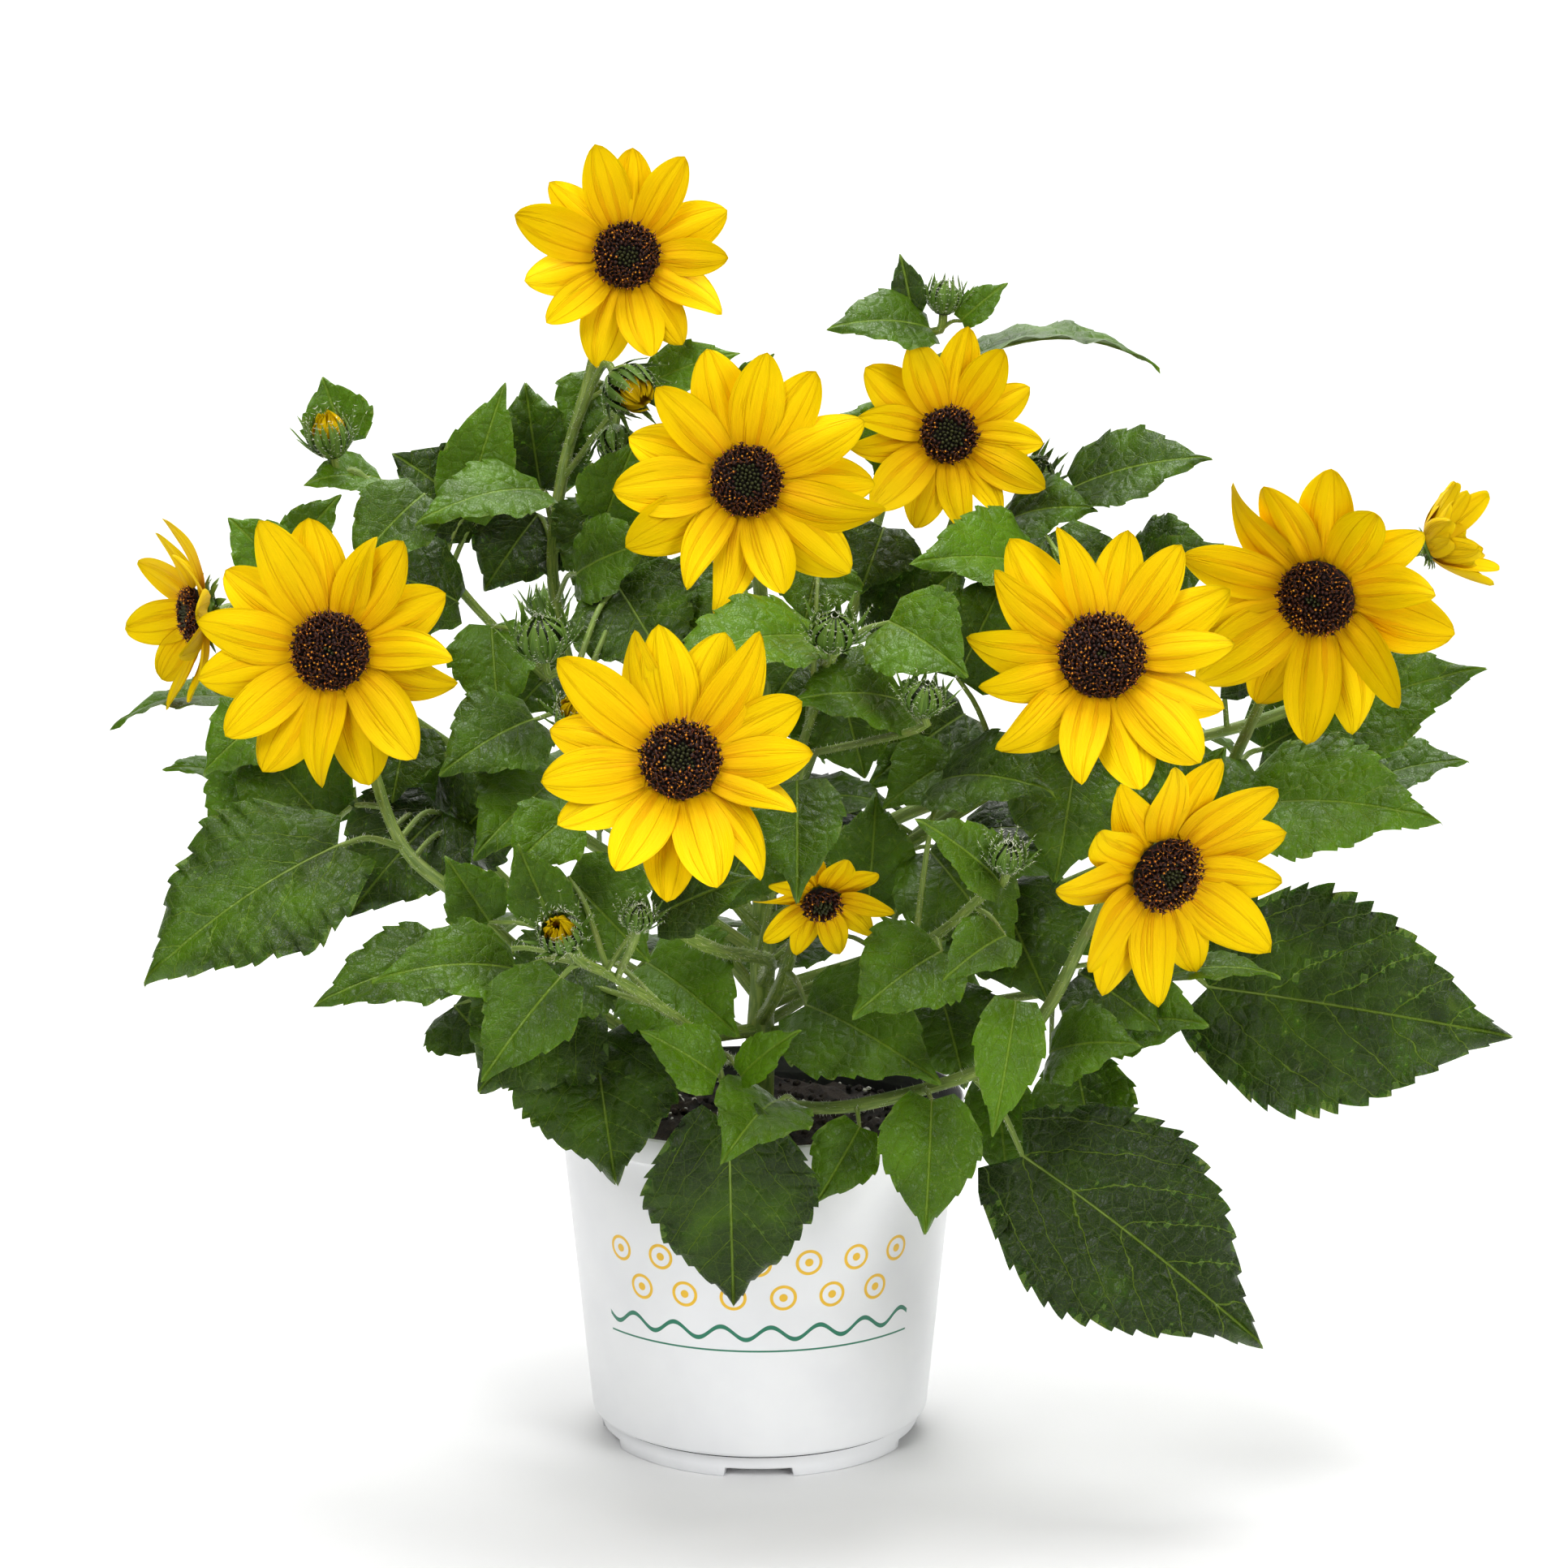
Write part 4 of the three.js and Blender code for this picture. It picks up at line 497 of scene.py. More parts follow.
class Mesh:
    """Corners, faces and surface coordinates gathered for one Blender object."""

    def __init__(self, materials):
        self.materials = materials
        self.corners, self.forms, self.sizes, self.rims = [], [], [], []
        self.faces, self.slots = [], []
        self.count = 0

    def add(self, corners, faces, material, form=None, size=(1, 1), rim=None):
        corners = np.asarray(corners, float).reshape(-1, 3)
        n = len(corners)
        self.corners.append(corners)
        self.forms.append(np.zeros((n, 3)) if form is None else np.asarray(form).reshape(n, 3))
        sizes = np.zeros((n, 3))
        sizes[:, :2] = size
        self.sizes.append(sizes)
        self.rims.append(np.zeros(n, bool) if rim is None else rim)
        self.link(faces, material)
        self.count += n

    def link(self, faces, material):
        """Faces over the corners that are added next."""
        faces = np.asarray(faces, int)
        if faces.shape[1] == 3:
            faces = np.concatenate([faces, np.full((len(faces), 1), -1)], 1)
        self.faces.append(np.where(faces < 0, -1, faces + self.count))
        self.slots.append(np.full(len(faces), self.materials.index(material)))

    def build(self, name, node):
        corners = np.concatenate(self.corners) * MM
        faces = np.concatenate(self.faces)
        used = np.zeros(len(corners), bool)
        used[faces[faces >= 0]] = True
        renumber = np.cumsum(used) - 1
        faces = np.where(faces < 0, -1, renumber[faces])
        mesh = bpy.data.meshes.new(name)
        mesh.vertices.add(int(used.sum()))
        mesh.vertices.foreach_set("co", corners[used].ravel())
        loops = faces[faces >= 0]
        mesh.loops.add(len(loops))
        mesh.loops.foreach_set("vertex_index", loops)
        counts = (faces >= 0).sum(1)
        mesh.polygons.add(len(faces))
        mesh.polygons.foreach_set("loop_start", np.cumsum(counts) - counts)
        mesh.polygons.foreach_set("material_index", np.concatenate(self.slots))
        mesh.polygons.foreach_set("use_smooth", np.ones(len(faces), bool))
        for key, values in (("form", self.forms), ("size", self.sizes)):
            layer = mesh.attributes.new(key, "FLOAT_VECTOR", "POINT")
            layer.data.foreach_set("vector", np.concatenate(values)[used].ravel())
        for material in self.materials:
            mesh.materials.append(MATERIALS[material])
        mesh.update(calc_edges=True)
        mesh.validate()
        rim = np.concatenate(self.rims)[used]
        ends = np.empty(2 * len(mesh.edges), int)
        mesh.edges.foreach_get("vertices", ends)
        sharp = mesh.attributes.new("sharp_edge", "BOOLEAN", "EDGE")
        sharp.data.foreach_set("value", rim[ends.reshape(-1, 2)].all(1))
        piece = bpy.data.objects.new(name, mesh)
        bpy.context.scene.collection.objects.link(piece)
        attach(piece, "root")
        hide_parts(node)


def quads_of(index):
    """The faces of a grid of corner numbers, with triangles where corners coincide."""
    a, b, c, d = index[:-1, :-1], index[:-1, 1:], index[1:, 1:], index[1:, :-1]
    faces = np.stack([a, d, c, b], -1).reshape(-1, 4)
    first = faces[:, 0] == faces[:, 3]
    faces[first, 3] = -1
    last = faces[:, 1] == faces[:, 2]
    faces[last, 2] = faces[last, 3]
    faces[last, 3] = -1
    return faces


def sheet(mesh, top, down, form, size, over, under):
    """A thin closed blade over a grid that narrows to a point at both ends; down is its depth."""
    rows, cols = top.shape[:2]
    index = np.arange(rows * cols).reshape(rows, cols)
    index[0] = index[0, 0]
    index[-1] = index[-1, 0]
    below = index + rows * cols
    below[:, 0], below[:, -1] = index[:, 0], index[:, -1]
    below[0], below[-1] = index[0], index[-1]
    corners = np.concatenate([top.reshape(-1, 3), (top + down).reshape(-1, 3)])
    rim = np.zeros(len(corners), bool)
    rim[np.concatenate([index[0], index[-1], index[:, 0], index[:, -1]])] = True
    mesh.link(flipped(quads_of(below)), under)
    mesh.add(corners, quads_of(index), over, np.concatenate([form.reshape(-1, 3)] * 2), size, rim)


def flipped(faces):
    """The same faces turned over."""
    turned = faces[:, ::-1].copy()
    triangles = faces[:, 3] < 0
    turned[triangles] = faces[triangles][:, [2, 1, 0, 3]]
    return turned


def rings(line, radii, sides):
    """The rings of corners round a line, turned along it without twisting."""
    tangents = units(np.gradient(line, axis=0))
    across = np.cross(tangents[0], UP if abs(tangents[0][2]) < 0.9 else vec([1, 0, 0]))
    angles = 2 * math.pi * np.arange(sides) / sides
    corners, normals = [], []
    for point, tangent, radius in zip(line, tangents, radii):
        across = unit(across - tangent * (across @ tangent))
        other = np.cross(tangent, across)
        ring = np.cos(angles)[:, None] * across + np.sin(angles)[:, None] * other
        corners.append(point + radius * ring)
        normals.append(ring)
    return np.array(corners), np.array(normals)


def tube(mesh, line, radii, sides, material, tint):
    """A closed round bar along a line."""
    line, radii = np.asarray(line), np.broadcast_to(radii, len(line))
    corners, _ = rings(line, radii, sides)
    n = len(line)
    lengths = np.concatenate([[0], np.cumsum(np.linalg.norm(np.diff(line, axis=0), axis=1))])
    form = form_grid((n, sides), np.arange(sides) / sides, lengths[:, None] / 10, tint)
    caps = [[0, k + 1, k, -1] for k in range(1, sides - 1)]
    caps += [[(n - 1) * sides, (n - 1) * sides + k, (n - 1) * sides + k + 1, -1]
             for k in range(1, sides - 1)]
    faces = np.concatenate([flipped(quads_of(ring_grid(n, sides))), caps])
    mesh.add(corners, faces, material, form)


def hairs(mesh, roots, directions, lengths):
    """Fine tapered hairs, each an open three-sided spike."""
    count = len(roots)
    directions = units(directions)
    side, other = axes_across(directions)
    corners = np.zeros((count, 4, 3))
    for k in range(3):
        angle = 2 * math.pi * k / 3
        ring = math.cos(angle) * side + math.sin(angle) * other
        corners[:, k] = roots + HAIR_RADIUS * ring
    corners[:, 3] = roots + directions * np.asarray(lengths)[:, None]
    base = 4 * np.arange(count)[:, None, None]
    faces = (np.array([[0, 1, 3], [1, 2, 3], [2, 0, 3]]) + base).reshape(-1, 3)
    mesh.add(corners, faces, "hair")


def hairs_on_tube(mesh, line, radii, per_mm, length, rng):
    line = np.asarray(line)
    radii = np.broadcast_to(radii, len(line))
    steps = np.linalg.norm(np.diff(line, axis=0), axis=1)
    count = int(per_mm * steps.sum())
    if count < 1:
        return
    _, normals = rings(line, radii, 12)
    i = rng.choice(len(steps), count, p=steps / steps.sum())
    w = rng.random(count)[:, None]
    out = units(normals[i, rng.integers(0, 12, count)] + 0.25 * rng.normal(size=(count, 3)))
    roots = line[i] * (1 - w) + line[i + 1] * w + out * radii[i][:, None] * 0.9
    lean = 0.3 * rng.normal(size=(count, 3))
    hairs(mesh, roots, out + lean, length * (0.5 + 0.7 * rng.random(count)))


def leaf_profile(share):
    """How wide a leaf is at a share of its length, as a share of its greatest half width."""
    return np.sin(math.pi * np.clip(share, 0, 1) ** 0.62) ** 1.05


def leaf_frame(leaf):
    forward = unit(leaf["tip"] - leaf["base"])
    tilt = math.radians(leaf["tilt"])
    hint = vec([0, -math.sin(tilt), math.cos(tilt)])
    normal = unit(hint - forward * (hint @ forward))
    return forward, normal, np.cross(normal, forward)


def leaf_surface(leaf, share, across):
    """The place at a share of a leaf's length and a distance across it."""
    forward, normal, side = leaf_frame(leaf)
    length = np.linalg.norm(leaf["tip"] - leaf["base"])
    share, across = np.asarray(share, float)[..., None], np.asarray(across, float)[..., None]
    wave = LEAF_FOLD + LEAF_WAVE * np.sin(11 * share + np.sign(across))
    height = leaf["arch"] * length * 4 * share * (1 - share) + np.abs(across) * wave
    return leaf["base"] + forward * share * length + side * across + normal * height


def leaf_corners(leaf):
    """Where the solid leaf has its teeth and its tip."""
    teeth = leaf["teeth"]
    j = np.arange(1, 2 * teeth)
    share = j / (2 * teeth)
    odd = j % 2
    reach = np.where(odd, 1, 0.86) * leaf_profile(share) * leaf["width"] / 2
    place = share - 0.14 * np.exp(-(share / 0.12) ** 2) + 0.018 * odd
    sides = [leaf_surface(leaf, place, sign * reach) for sign in (1, -1)]
    return np.concatenate([*sides, [leaf["tip"]]])


def corner_tree(node):
    points = frame["nodes"][node].data.vertices
    tree = KDTree(len(points))
    for i, corner in enumerate(points):
        tree.insert(corner.co / MM, i)
    tree.balance()
    return tree


def found_leaf(tree, candidates):
    """The one of these leaves that stands in the solid, or None."""
    for leaf in candidates:
        if tree.find(Vector(leaf["tip"]))[2] > MATCH_DISTANCE:
            continue
        near = [tree.find(Vector(p))[2] < MATCH_DISTANCE for p in leaf_corners(leaf)]
        if sum(near) > MATCH_SHARE * len(near):
            return leaf
    return None


def large_leaves(stem, tree):
    for base, tip, width, tilt, arch, teeth in LEAVES.get(stem, []):
        length = math.dist(base, tip)
        candidates = []
        for base_bend in BASE_BENDS:
            for tip_bend in TIP_BENDS:
                candidates.append(dict(
                    base=vec(base) + [0, base_bend, 0],
                    tip=vec(tip) + [0, base_bend + tip_bend * length, 0],
                    width=width, tilt=tilt, arch=arch, teeth=teeth))
        leaf = found_leaf(tree, candidates)
        if leaf:
            leaf["root"] = nearest_on_stem(stem, leaf["base"] - PETIOLE_DROP * UP)
            yield leaf


def filler_leaves(stem, tree, seeds):
    for index, seed in enumerate(seeds):
        draw = draws(seed)
        root = along_stem(stem, FILLER_PLACES[index])
        length = FILLER_LENGTH * (0.7 + 0.5 * next(draw))
        stalk = FILLER_PETIOLE * (0.7 + 0.6 * next(draw))
        droop = 0.5 * next(draw)
        candidates = []
        for turn in range(FILLER_TRIES):
            angle = math.radians(seed * GOLDEN_TURN + index * GOLDEN_TURN + turn * FILLER_TURN)
            outward = vec([math.cos(angle), math.sin(angle), 0])
            base = root + stalk * outward + stalk * 0.35 * UP
            tip = base + length * outward - droop * length * UP
            candidates.append(dict(base=base, tip=tip, width=length * FILLER_WIDTH,
                                   tilt=20 - 35 * outward[1], arch=0.12, teeth=3))
        leaf = found_leaf(tree, candidates)
        if leaf:
            leaf["root"] = nearest_on_stem(stem, root)
            yield leaf


def leaf_blade(mesh, leaf, rng):
    """The blade: teeth that lean to the tip, lobes at the stalk, and swelling between its veins."""
    length = np.linalg.norm(leaf["tip"] - leaf["base"])
    width = leaf["width"]
    teeth = max(5, round(leaf["teeth"] * 1.75))
    half_columns = 8 if width > 44 else 6
    phases = np.array([0, 0.36, 0.7, 0.93])
    reaches = np.array([0, 0.45, 0.82, 1.0])
    starts = (np.arange(teeth + 1) + rng.uniform(-0.2, 0.2, teeth + 1)) / teeth
    starts[0], starts[-1] = 0, 1
    share = np.append((starts[:-1, None] + phases * np.diff(starts)[:, None]).ravel(), 1)
    tooth = np.append(np.tile(reaches, teeth), 0)
    depth = 0.045 + 0.05 * rng.random(teeth)
    depth = np.append(np.repeat(depth, len(phases)), 0)
    drawn_out = 1 - 0.22 * np.exp(-((share - 0.88) / 0.08) ** 2)
    reach = leaf_profile(share) * drawn_out * (1 - depth + depth * tooth) * width / 2 * 1.05
    reach[0] = reach[-1] = 0
    t = np.linspace(-1, 1, 2 * half_columns + 1)
    edge = np.abs(t)[None, :]
    lobe = 0.14 * np.exp(-(share / 0.12) ** 2)[:, None] * edge ** 1.6
    lobe[0] = 0
    place = share[:, None] - lobe + 0.014 * tooth[:, None] * edge ** 5
    place[-1] = 1
    across = t[None, :] * reach[:, None]
    points = leaf_surface(leaf, place, across)
    _, normal, _ = leaf_frame(leaf)
    form_edge = np.abs(across) / (width / 2)
    phase = (place - VEIN_SLOPE * form_edge - VEIN_BEND * form_edge ** 2) * SIDE_VEINS
    swell = np.abs(np.sin(math.pi * phase)) ** 0.7 * (1 - edge ** 4) * np.minimum(1, 6 * edge)
    seed = 6.28 * rng.random()
    ripple = np.sin(26 * place + seed + 2 * np.sign(t)[None, :]) * edge ** 3 * 0.028 * width
    curl = -0.05 * width * edge ** 4
    lift = swell * 0.028 * width * (0.7 + 0.5 * rng.random()) + ripple + curl * rng.random()
    lift[0] = lift[-1] = 0
    points = points + normal * lift[..., None]
    form = form_grid(place.shape, across / (width / 2), place, leaf["tint"])
    down = -LEAF_SHEET * np.broadcast_to(normal, points.shape)
    sheet(mesh, points, down, form, (width / 20, length / 10), "leaf_top", "leaf_under")


def leaf_whole(mesh, leaf, rng):
    """A leaf with its stalk, which runs on as the midrib under the blade."""
    leaf_blade(mesh, leaf, rng)
    root, base = leaf["root"], leaf["base"]
    middle = root + 0.55 * (base - root) + 0.12 * np.linalg.norm(base - root) * UP
    scale = min(1.15, 0.62 + leaf["width"] / 160)
    _, normal, _ = leaf_frame(leaf)
    stalk = Curve([root, middle, base - 0.9 * normal]).spaced(9)
    rib_shares = np.linspace(0.06, 0.88, 10)
    rib = leaf_surface(leaf, rib_shares, np.zeros(10)) - normal * np.linspace(0.9, 0.4, 10)[:, None]
    line = np.concatenate([stalk, rib])
    radii = scale * np.concatenate([np.linspace(*PETIOLE_RADII, 10), np.linspace(1.1, 0.25, 10)])
    tube(mesh, line, radii, 7, "stalk", leaf["tint"])
    hairs_on_tube(mesh, stalk, radii[:10], PETIOLE_HAIRS_PER_MM, 1.9, rng)


def ray_profile(share):
    """How wide a petal is at a share of its length, as a share of its greatest half width."""
    return np.sin(math.pi * (0.2 + 0.8 * share) ** 1.25) ** 0.64


def ray_shapes(bloom, seed):
    """The same petals as the solids have, drawn in the same order."""
    draw = draws(seed)
    shapes = []
    for index in range(bloom["rays"]):
        lower = index % 2 == 1
        root = bloom["disc"] * 0.95
        length = (bloom["reach"] - root) * (0.86 + 0.2 * next(draw))
        angle = 2 * math.pi * (index + 0.3 * (next(draw) - 0.5)) / bloom["rays"] + bloom["turn"]
        rise = bloom["cup"] + (0 if lower else 0.22) + 0.05 * next(draw)
        curl = -0.3 * (next(draw) - 0.35)
        sweep = 0.16 * (next(draw) - 0.5)
        half = min(0.27 * length, 1.7 * math.pi * (root + 0.4 * length) / bloom["rays"])
        shapes.append(dict(angle=angle, root=root, length=length, half=half, rise=rise, curl=curl,
                           sweep=sweep, level=-RAY_LEVEL if lower else RAY_LEVEL))
    return shapes


def petal(mesh, bloom, shape, rng):
    """One ray petal: broad, folded along its length, rolled or hollow, and sometimes hooked."""
    centre, out, right, up = axes_of(bloom)
    s = np.linspace(0, 1, PETAL_ROWS)[:, None] ** 0.9
    t = np.linspace(-1, 1, PETAL_COLUMNS)[None, :]
    width = ray_profile(s) * rng.uniform(0.94, 1.16)
    width[0] = width[-1] = 0
    hook = rng.choice([-1, 1]) * (rng.random() < HOOKED_SHARE)
    half_open = bloom["cup"] > 0.6
    half = shape["half"] * width * (1 - 0.4 * abs(hook) * s) * (1.35 if half_open else 1)
    length = shape["length"]
    roll = -0.8 if half_open else rng.uniform(-0.35, 0.4)
    twist = 0.18 * rng.normal() + 0.5 * hook
    folds = 0.075 * np.cos(rng.uniform(1.5, 2.4) * math.pi * t + rng.uniform(-0.7, 0.7))
    folds = folds + 0.04 * np.cos(rng.uniform(3.4, 4.6) * math.pi * t + rng.uniform(-1, 1))
    crease = -0.1 * np.exp(-(t / 0.16) ** 2) * s ** 2
    ripple = 0.09 * np.sin(6 * s + 6 * rng.random() + 2 * np.sign(t)) * t ** 2
    across = t * half + length * (shape["sweep"] * s ** 2 + 0.16 * hook * s ** 4)
    lift = shape["level"] + length * (shape["rise"] * s ** 1.5 + shape["curl"] * s ** 3)
    lift = lift + half * (folds * (1 - 0.4 * s) + crease + ripple)
    lift = lift + half * (1.6 * twist * t * s - roll * t ** 2 * s) - 0.2 * half * (1 - s) * t ** 2
    root = shape["root"] * 0.86
    radius = root + (shape["root"] - root + length) * s * (1 - 0.03 * t ** 2 * s)
    angle = shape["angle"]
    along = around(angle, right, up)
    aside = -math.sin(angle) * right + math.cos(angle) * up
    points = (centre + radius[..., None] * along + across[..., None] * aside
              + lift[..., None] * out)
    form = form_grid(points.shape[:2], t, s, rng.random())
    down = -PETAL_SHEET * np.broadcast_to(out, points.shape)
    sheet(mesh, flip_columns(points), down, flip_columns(form), (shape["half"] / 10, length / 10),
          "petal_face", "petal_back")


def flip_columns(grid):
    """The grid with its columns in the other order, which turns its faces over."""
    return grid[:, ::-1]


def rays_piece(name, bloom, seed):
    rng = np.random.default_rng(seed)
    mesh = Mesh(["petal_face", "petal_back"])
    shapes = ray_shapes(bloom, seed)
    if bloom["cup"] > 0.6:
        shapes += [dict(shape, angle=shape["angle"] + math.pi / bloom["rays"],
                        length=shape["length"] * 0.75) for shape in shapes]
    for shape in shapes:
        petal(mesh, bloom, shape, rng)
    mesh.build("petals_" + name, "rays_" + name)


def disc_height(bloom, share):
    """How high the dome under the florets stands."""
    foot = PLATE_THICKNESS / 2 + SEAT_GAP
    return foot + bloom["disc"] * 0.24 * (1 - share ** 3) + 0.6


def floret_rings(radii, heights):
    angles = 2 * math.pi * np.arange(FLORET_SIDES) / FLORET_SIDES
    return np.array([[r * np.cos(a), r * np.sin(a), h] for r, h in zip(radii, heights)
                     for a in angles])


def floret_faces():
    top = (FLORET_RINGS - 1) * FLORET_SIDES
    caps = [[top, top + k, top + k + 1, -1] for k in range(1, FLORET_SIDES - 1)]
    return np.concatenate([flipped(quads_of(ring_grid(FLORET_RINGS, FLORET_SIDES))), caps])


def stamp(mesh, corners, faces, places, frames, scales, material):
    """Copies of one small shape at places, turned by frames whose columns are its own axes."""
    count, n = len(places), len(corners)
    scaled = corners[None] * np.asarray(scales)[:, None, None]
    moved = places[:, None] + np.einsum("kij,knj->kni", frames, scaled)
    shifted = np.where(faces[None] < 0, -1, faces[None] + n * np.arange(count)[:, None, None])
    mesh.add(moved, shifted.reshape(-1, 4), material)


def disc_bed(mesh, bloom):
    """The dark dome that the florets stand on."""
    centre, out, right, up = axes_of(bloom)
    rows, sides = 10, 40
    angles = 2 * math.pi * np.arange(sides + 1) / sides
    bed = []
    for s in np.linspace(0, 1, rows):
        height = disc_height(bloom, s) - (1.2 if s == 1 else 0)
        radius = bloom["disc"] * 0.97 * s
        bed.append([centre + radius * around(a, right, up) + height * out for a in angles])
    index = np.arange(rows * (sides + 1)).reshape(rows, sides + 1)
    index[0] = 0
    index[:, -1] = index[:, 0]
    mesh.add(np.array(bed), flipped(quads_of(index)), "disc_bed")


def styles(mesh, feet, frames, share, scale, forked, rng):
    """Forked styles that stand out of the open florets, longest at the disc's edge."""
    count = len(feet)
    fork = 2 * math.pi * rng.random(count)
    reach = scale * (0.75 + 0.9 * share ** 3 + 0.3 * rng.random(count))
    for sign in (1, -1):
        local = np.stack([sign * 0.75 * np.cos(fork), sign * 0.75 * np.sin(fork), 0 * fork + 0.85], 1)
        tips = feet + np.einsum("kij,kj->ki", frames, local) * reach[:, None]
        spikes(mesh, feet[forked], tips[forked], STYLE_RADIUS, "floret_style", rng)


def disc_piece(name, bloom, seed):
    """The disc: florets in the golden-angle spiral, open with forked styles round a closed centre."""
    rng = np.random.default_rng(seed)
    centre, out, right, up = axes_of(bloom)
    radius = bloom["disc"]
    mesh = Mesh(["floret_dark", "floret_style", "floret_centre", "pollen", "disc_bed"])
    disc_bed(mesh, bloom)
    count = int(FLORETS_PER_SQUARE_MM * math.pi * radius ** 2)
    i = np.arange(count)
    share = np.sqrt((i + 0.5) / count) * 0.985
    angle = i * math.radians(FLORET_TURN)
    radial = np.cos(angle)[:, None] * right + np.sin(angle)[:, None] * up
    lean = (0.75 * share ** 1.5)[:, None]
    axis = units(out + lean * radial + 0.07 * rng.normal(size=(count, 3)))
    first = units(np.cross(axis, right))
    frames = np.stack([first, np.cross(axis, first), axis], -1)
    places = (centre + radius * 0.95 * share[:, None] * radial
              + disc_height(bloom, share)[:, None] * out - 0.3 * axis)
    pitch = radius / math.sqrt(count) * 1.6
    scale = pitch * (0.8 + 0.35 * rng.random(count))
    closed = share < bloom["closed"] + 0.05 * rng.normal(size=count)
    dusted = ~closed & (rng.random(count) < DUSTED_SHARE)
    forked = ~closed & (rng.random(count) < 0.45 + 0.6 * share)
    kinds = [(CLOSED_FLORET, closed, "floret_centre"), (OPEN_FLORET, ~closed, "floret_dark"),
             (POLLEN_KNOB, dusted, "pollen")]
    for (radii, heights), chosen, material in kinds:
        stamp(mesh, floret_rings(radii, heights), floret_faces(), places[chosen], frames[chosen],
              scale[chosen], material)
    feet = places + frames[:, :, 2] * (1.4 * scale)[:, None]
    styles(mesh, feet, frames, share, scale, forked, rng)
    mesh.build("florets_" + name, "disc_" + name)


def spikes(mesh, roots, tips, radius, material, rng):
    """Four-sided tapering spikes from roots to tips."""
    count = len(roots)
    along = units(tips - roots)
    side, other = axes_across(along)
    corners = np.stack([roots + radius * side, roots + radius * other, roots - radius * side,
                        roots - radius * other, tips + 0.3 * along], 1)
    form = np.zeros((count, 5, 3))
    form[:, 4, 1] = 1
    form[:, :, 2] = rng.random(count)[:, None]
    faces = np.array([[0, 1, 4], [1, 2, 4], [2, 3, 4], [3, 0, 4]])
    faces = (faces[None] + 5 * np.arange(count)[:, None, None]).reshape(-1, 3)
    mesh.add(corners, faces, material, form)


def bract(mesh, line, normal_out, half, rng):
    """A pointed green bract along a line of three points, hollowed inwards, with hairy edges."""
    curve = Curve(line).spaced(8)
    tangents = units(np.gradient(curve, axis=0))
    s = np.linspace(0, 1, 9)
    width = half * np.sin(math.pi * (0.16 + 0.84 * s) ** 0.8) ** 0.9
    width[0] = half * 0.35
    width[-1] = 0
    t = np.linspace(-1, 1, 5)
    normal = units(normal_out - tangents * (tangents @ normal_out)[:, None])
    side = np.cross(normal, tangents)
    points = (curve[:, None] + (width[:, None] * t[None])[..., None] * side[:, None]
              - (0.3 * width[:, None] * t[None] ** 2)[..., None] * normal[:, None])
    form = form_grid((9, 5), t[None], s[:, None], rng.random())
    down = -BRACT_SHEET * np.broadcast_to(normal[:, None], points.shape)
    sheet(mesh, points, down, form, (half / 10, 1), "bract", "bract")
    rows = rng.integers(1, 9, BRACT_HAIRS)
    columns = rng.choice([0, 0, 2, 4, 4], BRACT_HAIRS)
    sideways = side[rows] * (columns / 2 - 1)[:, None]
    outward = sideways + 0.4 * tangents[rows] + 0.5 * normal[rows]
    outward = outward + 0.25 * rng.normal(size=outward.shape)
    hairs(mesh, points[rows, columns], outward, 1.2 + 1.2 * rng.random(BRACT_HAIRS))


def lathe(mesh, profile, centre, out, right, up, sides, material):
    """A turned solid on an axis, from [radius, height] points with both ends on the axis."""
    n = len(profile)
    angles = 2 * math.pi * np.arange(sides) / sides
    corners = np.array([[centre + r * around(a, right, up) + h * out for a in angles]
                        for r, h in profile])
    form = form_grid((n, sides), np.arange(sides) / sides, np.linspace(0, 1, n)[:, None], 0)
    mesh.add(corners, flipped(quads_of(pole_grid(n, sides))), material, form)


def calyx(mesh, bloom, rng):
    """The cup behind a bloom with two rings of bracts."""
    centre, out, right, up = axes_of(bloom)
    disc, depth = bloom["disc"], calyx_depth(bloom)
    top = -PLATE_THICKNESS / 2 - SEAT_GAP
    profile = [(0, top - depth), (3.2, top - depth), (disc * 0.5, top - depth * 0.72),
               (disc * 0.86, top - depth * 0.36), (disc * 0.98, top - 0.3), (0, top)]
    lathe(mesh, profile, centre, out, right, up, 24, "bract")
    for ring, (count, spread, drop) in enumerate(CALYX_RINGS):
        for k in range(count):
            angle = 2 * math.pi * (k + 0.5 * ring + 0.3 * rng.random()) / count
            radial = around(angle, right, up)
            reach = disc * spread * (0.92 + 0.16 * rng.random())
            line = [centre + disc * 0.42 * radial + (top - depth * 0.8) * out,
                    centre + disc * 0.98 * radial + (top - depth * (0.35 + 0.25 * ring)) * out,
                    centre + reach * radial + (top - depth * drop) * out]
            bract(mesh, line, radial * 0.3 - out, disc * 0.24, rng)


